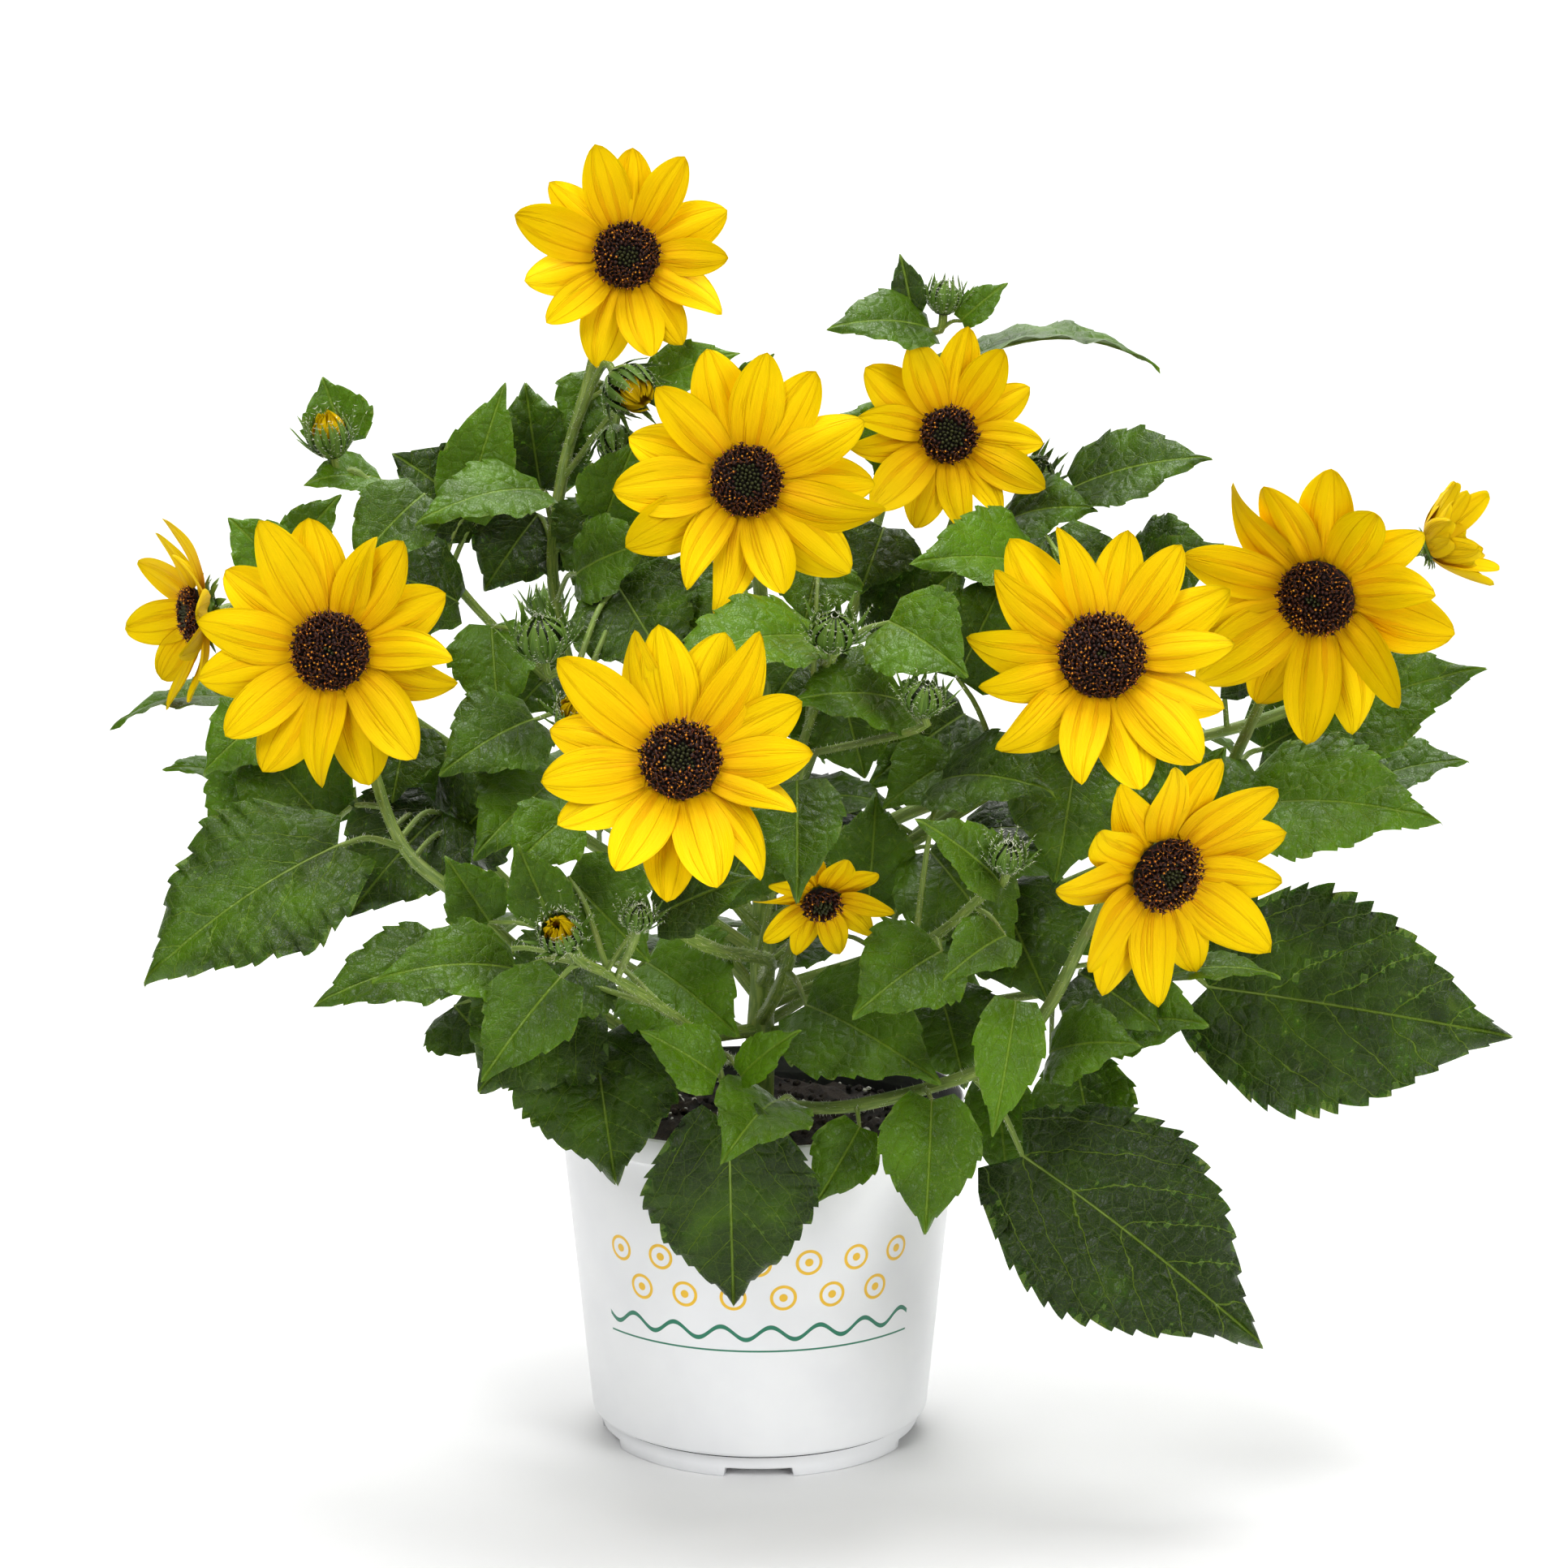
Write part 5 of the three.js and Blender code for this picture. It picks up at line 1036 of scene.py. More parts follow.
def bud_body(mesh, bud, rng):
    """A bud: a round body wrapped in narrow hairy bracts, the outer ones long and standing off."""
    centre, out, right, up = axes_of(bud)
    r = bud["radius"]
    crest = 0.0 if bud["open"] else 0.62 * r
    profile = [(0, -0.9 * r), (0.42 * r, -0.84 * r), (0.64 * r, -0.6 * r), (0.78 * r, -0.2 * r),
               (0.7 * r, 0.3 * crest), (0.4 * r, 0.8 * crest), (0, crest)]
    lathe(mesh, profile, centre, out, right, up, 20, "bud_core")
    closed_over = 0.6 if bud["open"] else 0.12
    for count, waist, level, top, flare, half in [
            (11, 0.93, 0.14, 1.0, closed_over, 0.2), (11, 1.04, 0.05, 1.2, 0.7, 0.17),
            (10, 1.14, -0.1, 0.85, 1.6, 0.14)]:
        for k in range(count):
            angle = 2 * math.pi * (k + level * 5 + 0.25 * rng.random()) / count
            radial = around(angle, right, up)
            spread = flare + 0.22 * rng.random()
            line = [centre + 0.55 * r * radial - 0.78 * r * out,
                    centre + waist * r * radial + level * r * out,
                    centre + spread * r * radial + top * r * (0.88 + 0.2 * rng.random()) * out]
            bract(mesh, line, radial, half * r, rng)


def bud_tip_piece(name, bud, seed):
    """The folded yellow petals that stand out of an opening bud."""
    rng = np.random.default_rng(seed)
    centre, out, right, up = axes_of(bud)
    r = bud["radius"]
    mesh = Mesh(["petal_face", "petal_back"])
    for k in range(TIP_PETALS):
        angle = 2 * math.pi * (k * 0.382 + 0.03 * rng.random())
        radial = around(angle, right, up)
        aside = -math.sin(angle) * right + math.cos(angle) * up
        s = np.linspace(0, 1, 10)[:, None]
        t = np.linspace(-1, 1, 5)[None, :]
        half = 0.17 * r * np.sin(math.pi * (0.25 + 0.75 * s) ** 1.3) ** 0.8
        half[0] = half[-1] = 0
        inner = 0.62 - 0.4 * k / TIP_PETALS
        spread = inner + 0.14 * np.sin(math.pi * s) - (0.8 * inner - 0.12 * rng.random()) * s ** 2
        radius = r * (spread + 0.07 * t ** 2)
        height = SEAT_GAP + r * (0.95 + 0.35 * rng.random()) * s
        swirl = (t * half + 0.16 * r * s ** 2)[..., None] * aside
        points = centre + radius[..., None] * radial + swirl + (height + 0 * t)[..., None] * out
        form = form_grid(points.shape[:2], t, s, rng.random())
        down = -PETAL_SHEET * np.broadcast_to(radial, points.shape)
        sheet(mesh, flip_columns(points), down, flip_columns(form), (half.max() / 10, 1),
              "petal_back", "petal_face")
    mesh.build("petals_tip_" + name, "tip_" + name)


def stem_bar(mesh, name, rng):
    line = FINE_LINES[name][::2]
    share = np.linspace(0, 1, len(line))
    if name == "crown":
        radii = np.interp(share, [0, 0.8, 1], [CROWN_FOOT_RADIUS, CROWN_TOP_RADIUS, 3.4])
        sides = 16
    else:
        ends = BRANCH_RADII if name in BLOOMS else SHOOT_RADII
        radii = np.interp(share, [0, 1], ends)
        sides = 10
    radii = radii * (1 + 0.05 * np.sin(share * 40 + 6 * rng.random()))
    tube(mesh, line, radii, sides, "stalk", 0.35 + 0.3 * rng.random())
    above = line[:, 2] > SOIL_TOP
    hairs_on_tube(mesh, line[above], radii[above], HAIRS_PER_MM, 2.3, rng)


def bud_stalk(mesh, bud, rng):
    root = nearest_on_stem(bud["parent"], along_stem(bud["parent"], bud["root"]))
    line = Curve([root, *neck(bud, [bud["radius"] * 1.8, bud["radius"] * 0.7])]).spaced(14)
    tube(mesh, line, np.linspace(1.8, 2.2, 15), 8, "stalk", 0.7)
    hairs_on_tube(mesh, line, 2.0, HAIRS_PER_MM, 1.8, rng)


def stem_piece(name, filler_seeds, seed):
    """One stem with its leaves, its buds and the calyx at its end."""
    rng = np.random.default_rng(seed)
    mesh = Mesh(["leaf_top", "leaf_under", "stalk", "bract", "bud_core", "hair"])
    stem_bar(mesh, name, rng)
    if name in BLOOMS:
        calyx(mesh, BLOOMS[name], rng)
    for key, bud in BUDS.items():
        if bud.get("parent", key) == name:
            bud_body(mesh, bud, rng)
            if "parent" in bud:
                bud_stalk(mesh, bud, rng)
    tree = corner_tree("stem_" + name)
    found = list(large_leaves(name, tree)) + list(filler_leaves(name, tree, filler_seeds))
    for leaf in found:
        young = max(0, 1 - leaf["width"] / 60)
        leaf["tint"] = min(1, max(0, 0.5 + 0.45 * young + 0.14 * rng.normal()))
        leaf_whole(mesh, leaf, rng)
    mesh.build("leafy_stem_" + name, "stem_" + name)


def pot_profile():
    """Outer and inner walls of the pot, from under the foot up over the rim and down inside."""
    ring_inner = POT_FOOT_RADIUS - FOOT_RING_WIDTH
    under_rim = POT_HEIGHT - RIM_DEPTH
    floor_top = CHANNEL_LIFT + FLOOR_THICKNESS
    foot, top = POT_FOOT_TOP_RADIUS, POT_TOP_RADIUS
    outside = [
        (0, 0), (CHANNEL_RADIUS, 0), (CHANNEL_RADIUS + 2, CHANNEL_LIFT),
        (ring_inner - 1, CHANNEL_LIFT), (ring_inner, 0.6), (ring_inner + 0.6, 0),
        (POT_FOOT_RADIUS - 0.8, 0), (POT_FOOT_RADIUS, 0.8), (POT_FOOT_RADIUS + 0.3, 6),
        (POT_FOOT_RADIUS + 0.7, POT_FOOT_HEIGHT - 3), (POT_FOOT_RADIUS + 1.4, POT_FOOT_HEIGHT - 1.8),
        (foot - 1.6, POT_FOOT_HEIGHT - 0.8), (foot - 0.4, POT_FOOT_HEIGHT), (foot, POT_FOOT_HEIGHT + 1.6),
    ]
    for k in range(1, 12):
        share = k / 12
        outside.append((foot + share * (top - foot),
                        POT_FOOT_HEIGHT + 1.6 + share * (under_rim - POT_FOOT_HEIGHT - 5)))
    outside += [
        (top, under_rim - 2.4), (top + 0.5, under_rim - 1.4), (top + 2.6, under_rim - 0.7),
        (RIM_RADIUS - 0.5, under_rim), (RIM_RADIUS, under_rim + 0.9),
        (RIM_RADIUS, POT_HEIGHT - 1.2), (RIM_RADIUS - 0.4, POT_HEIGHT - 0.3),
    ]
    inside = [
        (RIM_RADIUS - 1.1, POT_HEIGHT), (RIM_RADIUS - RIM_WALL, POT_HEIGHT - 0.6),
        (RIM_RADIUS - RIM_WALL - 0.4, under_rim + 2.4), (top - POT_WALL + 0.4, under_rim + 0.6),
        (top - POT_WALL, under_rim - 1), (foot - POT_WALL, POT_FOOT_HEIGHT + 1),
        (POT_FOOT_RADIUS - POT_WALL, floor_top), (CHANNEL_RADIUS, floor_top),
        (CHANNEL_RADIUS - 2, FLOOR_THICKNESS), (0, FLOOR_THICKNESS),
    ]
    return outside, inside


def pot_piece():
    """The moulded pot, with a notch in its foot at the front and four more round it."""
    outside, inside = pot_profile()
    profile = np.array(outside + inside, float)
    notch_half = NOTCH_WIDTH / 2 / POT_FOOT_RADIUS
    angles = []
    for k in range(NOTCH_COUNT):
        middle = 2 * math.pi * k / NOTCH_COUNT
        step = math.pi / NOTCH_COUNT
        rest = np.linspace(notch_half + 0.012, 2 * step - notch_half - 0.012, 20)
        angles += [middle + a for a in np.linspace(-notch_half, notch_half, 9)]
        angles += [middle + a for a in rest]
    angles = np.array(angles)
    turn = np.angle(np.exp(1j * NOTCH_COUNT * angles)) / NOTCH_COUNT
    in_notch = np.abs(turn) <= notch_half + 1e-6
    radius, height = profile[:, 0][:, None], profile[:, 1][:, None]
    ring = (radius > POT_FOOT_RADIUS - FOOT_RING_WIDTH - 2) & (height < NOTCH_HEIGHT)
    ring[len(outside):] = False
    lifted = np.where(ring & in_notch[None], NOTCH_HEIGHT, height + 0 * angles[None])
    corners = np.stack([radius * np.sin(angles), -radius * np.cos(angles), lifted], -1)
    n, m = len(profile), len(angles)
    index = pole_grid(n, m)
    mesh = Mesh(["pot_white", "pot_dark"])
    dark_from = len(outside)
    form = form_grid((n, m), angles[None] / (2 * math.pi), lifted / 10, 0)
    mesh.link(flipped(quads_of(index[dark_from:])), "pot_dark")
    mesh.add(corners, flipped(quads_of(index[:dark_from + 1])), "pot_white", form)
    mesh.build("pot_moulded", "pot")


def soil_mound(mesh, rng):
    """The potting mix itself, uneven on top and tapering with the pot."""
    n, m = 34, 110
    radius = np.linspace(0, 1, n)[:, None] * SOIL_RADIUS
    angle = 2 * math.pi * np.arange(m)[None] / m
    x, y = radius * np.cos(angle), radius * np.sin(angle)
    height = SOIL_TOP + 2.2 * np.sin(x * 0.11 + 1) * np.cos(y * 0.13)
    height = height + 0.9 * np.sin(x * 0.6 + y * 0.35)
    height = height + 0.9 * rng.normal(size=(n, m)) * (radius > 2)
    height[-1] -= 3
    corners = np.stack([x, y, height], -1)
    wall = corners[-1:] * [SOIL_FOOT_SHARE, SOIL_FOOT_SHARE, 0]
    wall = wall + [0, 0, POT_FOOT_HEIGHT + 4]
    floor = wall * [0, 0, 1]
    mesh.add(np.concatenate([corners, wall, floor]), quads_of(pole_grid(n + 2, m)), "soil")


def soil_piece():
    """Crumbly potting mix with dark crumbs and white grains."""
    rng = np.random.default_rng(5)
    mesh = Mesh(["soil", "perlite"])
    soil_mound(mesh, rng)
    grain = floret_rings([0.5, 1.0, 0.9, 0.4], [-0.5, -0.2, 0.35, 0.7])
    kinds = rng.random(CRUMB_COUNT) < WHITE_SHARE
    places = []
    for _ in range(CRUMB_COUNT):
        radius, angle = SOIL_RADIUS * 0.96 * math.sqrt(rng.random()), 2 * math.pi * rng.random()
        places.append([radius * math.cos(angle), radius * math.sin(angle), SOIL_TOP + 0.8])
    turns = rng.normal(size=(CRUMB_COUNT, 3, 3))
    frames = np.array([np.linalg.qr(turn)[0] for turn in turns])
    frames *= np.sign(np.linalg.det(frames))[:, None, None]
    scales = 0.9 + 2.2 * rng.random(CRUMB_COUNT) ** 2
    for white, material in ((True, "perlite"), (False, "soil")):
        chosen = kinds == white
        stamp(mesh, grain, floret_faces(), np.array(places)[chosen], frames[chosen],
              scales[chosen], material)
    mesh.build("soil_crumb", "soil")


# Materials
class Nodes:
    """A short way to write a material's nodes."""

    def __init__(self, name):
        self.material = bpy.data.materials.new(name)
        self.material.use_nodes = True
        self.tree = self.material.node_tree
        self.shader = self.tree.nodes["Principled BSDF"]

    def add(self, kind, outlet=0, inputs=(), **settings):
        made = self.tree.nodes.new(kind)
        for key, value in settings.items():
            setattr(made, key, value)
        for key, value in dict(inputs).items():
            self.put(made.inputs[key], value)
        return made.outputs[outlet]

    def put(self, socket, value):
        if isinstance(value, bpy.types.NodeSocket):
            self.tree.links.new(value, socket)
        else:
            socket.default_value = value

    def math(self, operation, *values):
        return self.add("ShaderNodeMath", inputs=enumerate(values), operation=operation)

    def times(self, first, second):
        return self.math("MULTIPLY", first, second)

    def plus(self, first, second):
        return self.math("ADD", first, second)

    def apart(self, first, second):
        """How far two values are apart."""
        return self.math("ABSOLUTE", self.math("SUBTRACT", first, second))

    def ramp(self, value, low, high, start=0.0, end=1.0):
        """The value taken smoothly from low..high to start..end."""
        inputs = {"Value": value, "From Min": low, "From Max": high, "To Min": start, "To Max": end}
        return self.add("ShaderNodeMapRange", inputs=inputs, interpolation_type="SMOOTHSTEP")

    def mix(self, share, first, second, blend="MIX"):
        made = self.tree.nodes.new("ShaderNodeMix")
        made.data_type, made.blend_type = "RGBA", blend
        self.put(made.inputs[0], share)
        self.put(made.inputs[6], first)
        self.put(made.inputs[7], second)
        return made.outputs[2]

    def parts(self, attribute):
        """The three numbers kept on each corner under this name."""
        vector = self.add("ShaderNodeAttribute", outlet=1, attribute_name=attribute)
        split = self.tree.nodes.new("ShaderNodeSeparateXYZ")
        self.put(split.inputs[0], vector)
        return split.outputs[0], split.outputs[1], split.outputs[2]

    def joined(self, x, y, z=0.0):
        return self.add("ShaderNodeCombineXYZ", inputs={0: x, 1: y, 2: z})

    def noise(self, vector, scale, detail=3.0):
        inputs = {"Vector": vector, "Scale": scale, "Detail": detail}
        return self.add("ShaderNodeTexNoise", inputs=inputs)

    def cells(self, vector, scale):
        """How far a place is from the edge of its cell in an uneven net."""
        inputs = {"Vector": vector, "Scale": scale}
        return self.add("ShaderNodeTexVoronoi", inputs=inputs, feature="DISTANCE_TO_EDGE")

    def place(self):
        """The place on the object, in centimetres."""
        where = self.add("ShaderNodeTexCoord", outlet=3)
        return self.add("ShaderNodeVectorMath", inputs={0: where, 3: 100.0}, operation="SCALE")

    def bump(self, height, distance, strength=1.0):
        inputs = {"Height": height, "Distance": distance, "Strength": strength}
        self.put(self.shader.inputs["Normal"], self.add("ShaderNodeBump", inputs=inputs))

    def finish(self, **values):
        for key, value in values.items():
            self.put(self.shader.inputs[key.replace("_", " ")], value)
        return self.material


def colour(red, green, blue):
    """A colour given as on screen, 0 to 255."""
    parts = [c / 255 for c in (red, green, blue)]
    linear = [c / 12.92 if c < 0.04045 else ((c + 0.055) / 1.055) ** 2.4 for c in parts]
    return (*linear, 1)


def leaf_material(name, dark, light, vein_colour, sunk, shine):
    """Leaf skin: a midrib, side veins that curve to the tip, and a fine net between them."""
    n = Nodes(name)
    across, along, tint = n.parts("form")
    half, length, _ = n.parts("size")
    edge = n.math("ABSOLUTE", across)
    across_cm, along_cm = n.times(across, half), n.times(along, length)
    surface = n.joined(across_cm, along_cm, n.times(tint, 9.0))
    rib = n.ramp(n.math("ABSOLUTE", across_cm), 0.03, 0.1, 1.0, 0.0)
    bend = n.times(n.times(edge, edge), -VEIN_BEND)
    curve = n.math("MULTIPLY_ADD", edge, -VEIN_SLOPE, bend)
    wobble = n.times(n.math("SUBTRACT", n.noise(surface, 0.7), 0.5), 0.1)
    phase = n.times(n.plus(n.plus(along, curve), wobble), SIDE_VEINS)
    away = n.times(n.apart(n.math("FRACT", phase), 0.5), 2.0)
    side_vein = n.times(n.ramp(away, 0.94, 0.99), n.ramp(edge, 1.0, 0.75))
    cells = n.cells(surface, 1.3)
    net = n.ramp(cells, 0.0, 0.04, 1.0, 0.0)
    fine = n.ramp(n.cells(surface, 5.5), 0.0, 0.1, 1.0, 0.0)
    veins = n.math("MAXIMUM", rib, n.times(side_vein, 0.8))
    lines = n.math("MAXIMUM", veins, n.times(net, 0.27))
    blotch = n.noise(surface, 0.35)
    patches = n.times(n.math("SUBTRACT", blotch, 0.5), 0.8)
    age = n.plus(n.times(tint, 0.85), patches)
    skin = n.mix(n.ramp(age, 0.1, 0.9), dark, light)
    skin = n.mix(n.times(fine, 0.1), skin, vein_colour)
    skin = n.mix(n.times(lines, 0.5), skin, vein_colour)
    relief = n.plus(n.times(lines, sunk), n.times(fine, sunk * 0.3))
    relief = n.plus(relief, n.times(n.ramp(cells, 0.0, 0.3), -0.9 * sunk))
    grain = n.times(n.noise(surface, 9.0), 0.25)
    n.bump(n.plus(relief, grain), 0.0007)
    rough = n.math("MULTIPLY_ADD", n.noise(surface, 2.0), 0.2, shine)
    return n.finish(Base_Color=skin, Roughness=rough, Specular_IOR_Level=0.24,
                    Subsurface_Weight=0.1, Subsurface_Radius=(0.5, 1.0, 0.2), Subsurface_Scale=0.001)


def stalk_material():
    """Stem skin with streaks along it, greener or yellower by stem."""
    n = Nodes("stalk")
    angle, along, tint = n.parts("form")
    streak = n.noise(n.joined(n.times(angle, 14.0), n.times(along, 0.6), tint), 1.6)
    skin = n.mix(n.ramp(streak, 0.3, 0.7), colour(92, 120, 40), colour(138, 158, 70))
    blush = n.noise(n.joined(angle, along, tint), 0.5)
    skin = n.mix(n.ramp(blush, 0.55, 0.8, 0.0, 0.35), skin, colour(110, 84, 48))
    n.bump(streak, 0.0004)
    return n.finish(Base_Color=skin, Roughness=0.5, Specular_IOR_Level=0.4)


def hair_material():
    n = Nodes("hair")
    skin = n.mix(n.noise(n.place(), 3.0), colour(226, 232, 196), colour(250, 250, 235))
    return n.finish(Base_Color=skin, Roughness=0.55)


def bract_material():
    n = Nodes("bract")
    across, along, tint = n.parts("form")
    stripe = n.noise(n.joined(n.times(across, 5.0), n.times(along, 1.2), tint), 1.5)
    skin = n.mix(n.ramp(stripe, 0.3, 0.7), colour(58, 92, 26), colour(112, 146, 48))
    skin = n.mix(n.ramp(along, 0.55, 1.0, 0.0, 0.5), skin, colour(128, 158, 60))
    n.bump(stripe, 0.0004)
    return n.finish(Base_Color=skin, Roughness=0.5, Specular_IOR_Level=0.35)


def petal_material(name, base, rim, deep_tone_and_shade, warmth):
    """Petal skin: fine ribs along it with painted shade in their grooves, a warmer foot and a paler,
    thinner edge.
    """
    n = Nodes(name)
    across, along, tint = n.parts("form")
    places = n.joined(n.times(across, 4.0), n.times(along, 0.6), n.times(tint, 9.0))
    grain = n.noise(places, 1.3)
    rib = n.math("SINE", n.math("MULTIPLY_ADD", across, 9.0, n.times(grain, 9.0)))
    rib = n.ramp(rib, 0.55, 1.0)
    fine = n.ramp(n.noise(n.joined(n.times(across, 16.0), along, tint), 2.0), 0.35, 0.75)
    skin = n.mix(n.ramp(along, 0.1, 0.75), base, rim)
    # Painted shade: the rib grooves and the fine streaks are darkened towards the deep colour, which also
    # gives the foot and each petal a deeper tone
    skin = n.mix(n.times(rib, n.ramp(along, 0.0, 1.0, 0.5, 0.16)), skin, deep_tone_and_shade)
    skin = n.mix(n.times(fine, n.ramp(along, 0.0, 0.8, 0.3, 0.07)), skin, deep_tone_and_shade)
    foot = n.ramp(along, 0.32, 0.02, 0.0, warmth)
    skin = n.mix(foot, skin, deep_tone_and_shade)
    skin = n.mix(n.times(tint, 0.18), skin, deep_tone_and_shade)
    n.bump(n.plus(n.times(rib, -1.0), n.times(fine, -0.3)), 0.0004)
    return n.finish(Base_Color=skin, Roughness=0.55, Specular_IOR_Level=0.05, Subsurface_Weight=0.2,
                    Subsurface_Radius=(1.0, 0.7, 0.1), Subsurface_Scale=0.0015)


def floret_material(name, dark, light, rough):
    n = Nodes(name)
    where = n.noise(n.place(), 9.0)
    skin = n.mix(n.ramp(where, 0.3, 0.7), dark, light)
    n.bump(where, 0.0003)
    return n.finish(Base_Color=skin, Roughness=rough, Specular_IOR_Level=0.3)


def style_material():
    """Styles that are maroon at the foot and run to orange at the tip."""
    n = Nodes("floret_style")
    _, along, tint = n.parts("form")
    warm = n.mix(tint, colour(120, 38, 8), colour(232, 140, 26))
    skin = n.mix(n.ramp(along, 0.2, 0.9), colour(52, 18, 8), warm)
    n.bump(n.noise(n.place(), 20.0), 0.0002)
    return n.finish(Base_Color=skin, Roughness=0.5, Specular_IOR_Level=0.3)


def soil_material():
    n = Nodes("soil")
    where = n.place()
    coarse, fine = n.noise(where, 0.9, 6.0), n.noise(where, 6.0, 5.0)
    skin = n.mix(n.ramp(coarse, 0.35, 0.65), colour(18, 13, 10), colour(46, 34, 25))
    skin = n.mix(n.ramp(fine, 0.55, 0.75, 0.0, 0.6), skin, colour(76, 58, 40))
    n.bump(fine, 0.0015)
    return n.finish(Base_Color=skin, Roughness=0.92)


def pot_print(n, plastic):
    """A plain pattern round the pot's front: a green wave, a green line and yellow rings."""
    where = n.tree.nodes.new("ShaderNodeSeparateXYZ")
    n.put(where.inputs[0], n.place())
    x, y, z = where.outputs
    arc = n.times(n.math("ARCTAN2", x, n.times(y, -1.0)), 10.0)
    sideways = n.math("ABSOLUTE", arc)
    in_front = n.ramp(sideways, 9.2, 9.1)
    wave = n.math("MULTIPLY_ADD", n.math("SINE", n.times(arc, 2.4)), 0.35, 8.4)
    wave_line = n.ramp(n.apart(z, wave), 0.14, 0.11)
    low_line = n.ramp(n.apart(z, 7.4), 0.06, 0.04)
    green = n.times(n.math("MAXIMUM", wave_line, low_line), in_front)
    yellow = 0.0
    for height, shift, end in RING_ROWS:
        turn = n.math("MODULO", n.plus(arc, 40 * RING_PITCH + shift), RING_PITCH)
        aside = n.math("SUBTRACT", turn, RING_PITCH / 2)
        rise = n.math("SUBTRACT", z, height)
        square = n.plus(n.times(aside, aside), n.times(rise, rise))
        distance = n.math("SQRT", square)
        line = n.ramp(n.apart(distance, 0.62), 0.1, 0.07)
        mark = n.math("MAXIMUM", line, n.ramp(distance, 0.24, 0.2))
        mark = n.times(mark, n.ramp(sideways, end + 0.02, end))
        yellow = n.math("MAXIMUM", yellow, mark)
    skin = n.mix(green, plastic, colour(28, 122, 92))
    return n.mix(yellow, skin, colour(246, 196, 40))


def pot_material():
    """Glossy white moulded plastic, a little scuffed, with the printed pattern on its front."""
    n = Nodes("pot_white")
    cloud = n.noise(n.place(), 0.25)
    plastic = n.mix(n.ramp(cloud, 0.3, 0.7), colour(241, 242, 244), colour(246, 247, 248))
    skin = pot_print(n, plastic)
    n.bump(n.noise(n.place(), 1.6), 0.0002, 0.35)
    rough = n.math("MULTIPLY_ADD", n.noise(n.place(), 0.7), 0.12, 0.26)
    return n.finish(Base_Color=skin, Roughness=rough, Specular_IOR_Level=0.5)


def pot_dark_material():
    n = Nodes("pot_dark")
    skin = n.mix(n.noise(n.place(), 0.8), colour(20, 21, 22), colour(38, 39, 40))
    n.bump(n.noise(n.place(), 5.0), 0.0003)
    return n.finish(Base_Color=skin, Roughness=0.45)


MATERIALS = {
    "leaf_top": leaf_material("leaf_top", colour(28, 46, 4), colour(84, 124, 4),
                              colour(126, 154, 44), -0.7, 0.25),
    "leaf_under": leaf_material("leaf_under", colour(62, 86, 28), colour(100, 130, 44),
                                colour(140, 162, 80), 0.7, 0.5),
    "stalk": stalk_material(),
    "hair": hair_material(),
    "bract": bract_material(),
    # The third colour of each petal material is a deeper tone of the petal and also the painted shade in
    # its grooves
    "petal_face": petal_material("petal_face", colour(240, 190, 0), colour(246, 208, 0),
                                 colour(206, 132, 0), 0.4),
    "petal_back": petal_material("petal_back", colour(232, 184, 6), colour(244, 204, 8),
                                 colour(210, 152, 8), 0.5),
    "floret_dark": floret_material("floret_dark", colour(26, 10, 6), colour(64, 24, 10), 0.55),
    "floret_style": style_material(),
    "floret_centre": floret_material("floret_centre", colour(34, 32, 18), colour(72, 76, 36), 0.5),
    "bud_core": floret_material("bud_core", colour(26, 36, 12), colour(48, 64, 20), 0.6),
    "pollen": floret_material("pollen", colour(196, 92, 10), colour(240, 170, 30), 0.7),
    "disc_bed": floret_material("disc_bed", colour(12, 6, 4), colour(24, 12, 8), 0.8),
    "pot_white": pot_material(),
    "pot_dark": pot_dark_material(),
    "soil": soil_material(),
    "perlite": floret_material("perlite", colour(196, 192, 182), colour(232, 230, 224), 0.8),
}


def build_plant():
    seed = 11
    for name, bloom in BLOOMS.items():
        seed += 7
        rays_piece(name, bloom, seed)
        disc_piece(name, bloom, seed)
    for name, bud in BUDS.items():
        if bud["open"]:
            bud_tip_piece(name, bud, len(name))
    filler_seeds = {}
    for name, count in FILLED_STEMS.items():
        filler_seeds[name] = [seed + 3 * (k + 1) for k in range(count)]
        seed += 3 * count
    for number, name in enumerate(["crown", *STEMS]):
        stem_piece(name, filler_seeds.get(name, []), 100 + number)


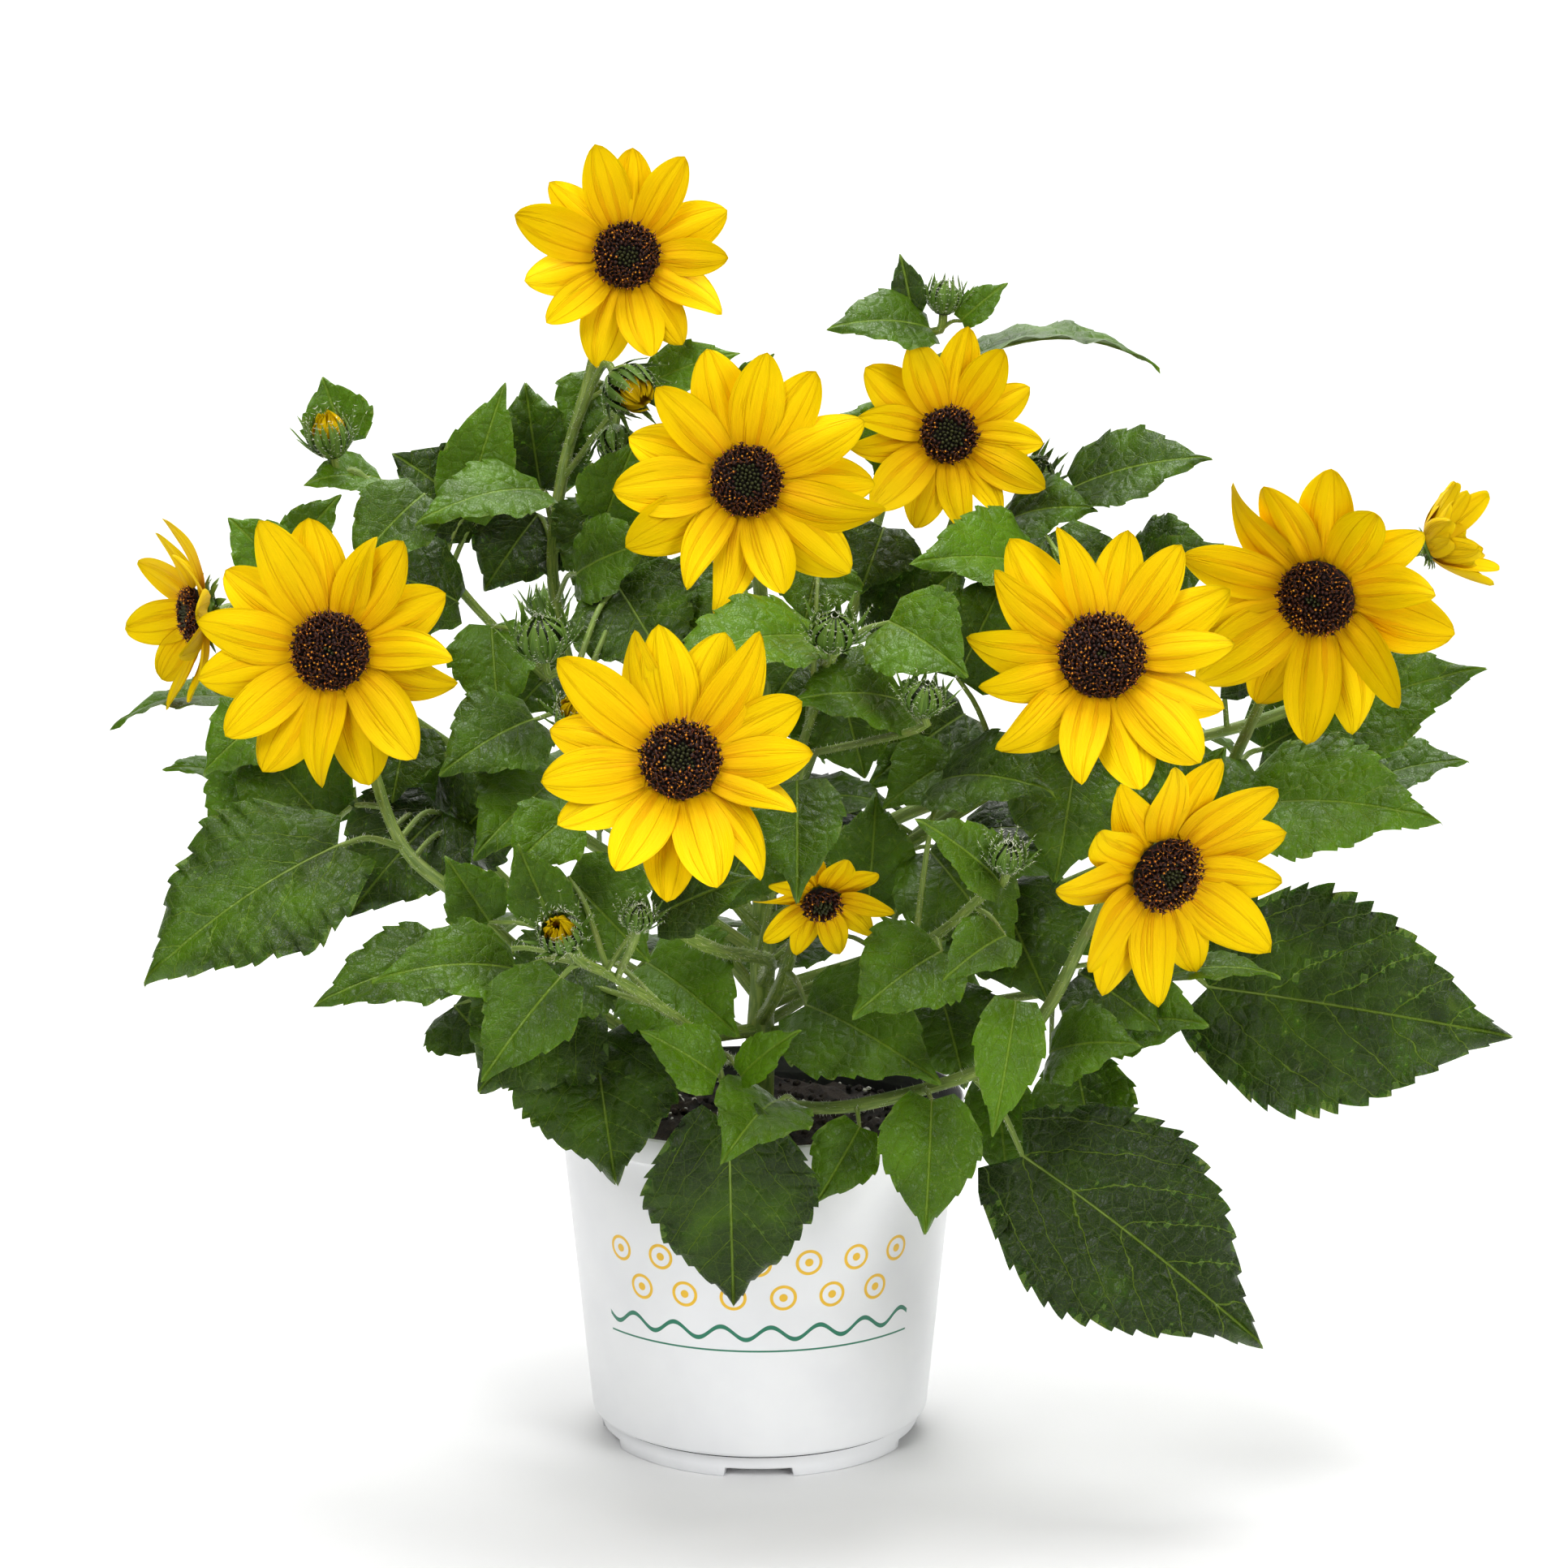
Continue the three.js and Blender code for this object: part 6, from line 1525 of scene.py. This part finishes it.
def floor_and_backdrop():
    """A white sweep: a level floor that curves up into a wall far behind."""
    bend_start = SWEEP_BACK - SWEEP_BEND
    line = [(SWEEP_FRONT, 0.0), (bend_start, 0.0)]
    for k in range(1, SWEEP_STEPS + 1):
        a = math.pi / 2 * k / SWEEP_STEPS
        line.append((bend_start + SWEEP_BEND * math.sin(a), SWEEP_BEND - SWEEP_BEND * math.cos(a)))
    line.append((SWEEP_BACK, SWEEP_TOP))
    corners = [(x, y, z) for y, z in line for x in (-SWEEP_WIDTH / 2, SWEEP_WIDTH / 2)]
    faces = [(2 * k, 2 * k + 1, 2 * k + 3, 2 * k + 2) for k in range(len(line) - 1)]
    mesh = bpy.data.meshes.new("studio_sweep")
    mesh.from_pydata(corners, [], faces)
    mesh.polygons.foreach_set("use_smooth", [True] * len(faces))
    n = Nodes("studio_white")
    mesh.materials.append(n.finish(Base_Color=(0.84, 0.84, 0.84, 1), Roughness=0.7,
                                   Specular_IOR_Level=0.2))
    sweep = bpy.data.objects.new("studio_sweep", mesh)
    bpy.context.scene.collection.objects.link(sweep)


def light(name, place, target, size, power):
    data = bpy.data.lights.new(name, "AREA")
    data.shape, data.size, data.energy = "DISK", size, power
    lamp = bpy.data.objects.new(name, data)
    lamp.location = place
    lamp.rotation_euler = (Vector(target) - Vector(place)).to_track_quat("-Z", "Y").to_euler()
    bpy.context.scene.collection.objects.link(lamp)


def studio():
    for name, (place, aim, size, power) in LAMPS.items():
        light(name, place, aim, size, power)
    world = bpy.data.worlds.new("studio")
    bpy.context.scene.world = world
    world.use_nodes = True
    background = world.node_tree.nodes["Background"].inputs
    background["Color"].default_value = (1, 1, 1, 1)
    background["Strength"].default_value = SURROUNDING_LIGHT
    bpy.context.scene.view_settings.view_transform = "Standard"


def camera():
    """The photograph's view: 1.73 m in front of the pot, 0.63 m up, looking down 8.8 degrees."""
    data = bpy.data.cameras.new("camera")
    data.sensor_width = SENSOR_WIDTH
    data.lens = SENSOR_WIDTH * FOCAL_PIXELS / IMAGE_PIXELS
    made = bpy.data.objects.new("camera", data)
    made.location = CAMERA_PLACE
    made.rotation_euler = (math.radians(90 - CAMERA_PITCH), 0, 0)
    bpy.context.scene.collection.objects.link(made)
    bpy.context.scene.camera = made


camera()
studio()
floor_and_backdrop()
pot_piece()
soil_piece()
build_plant()

bpy.context.view_layer.update()
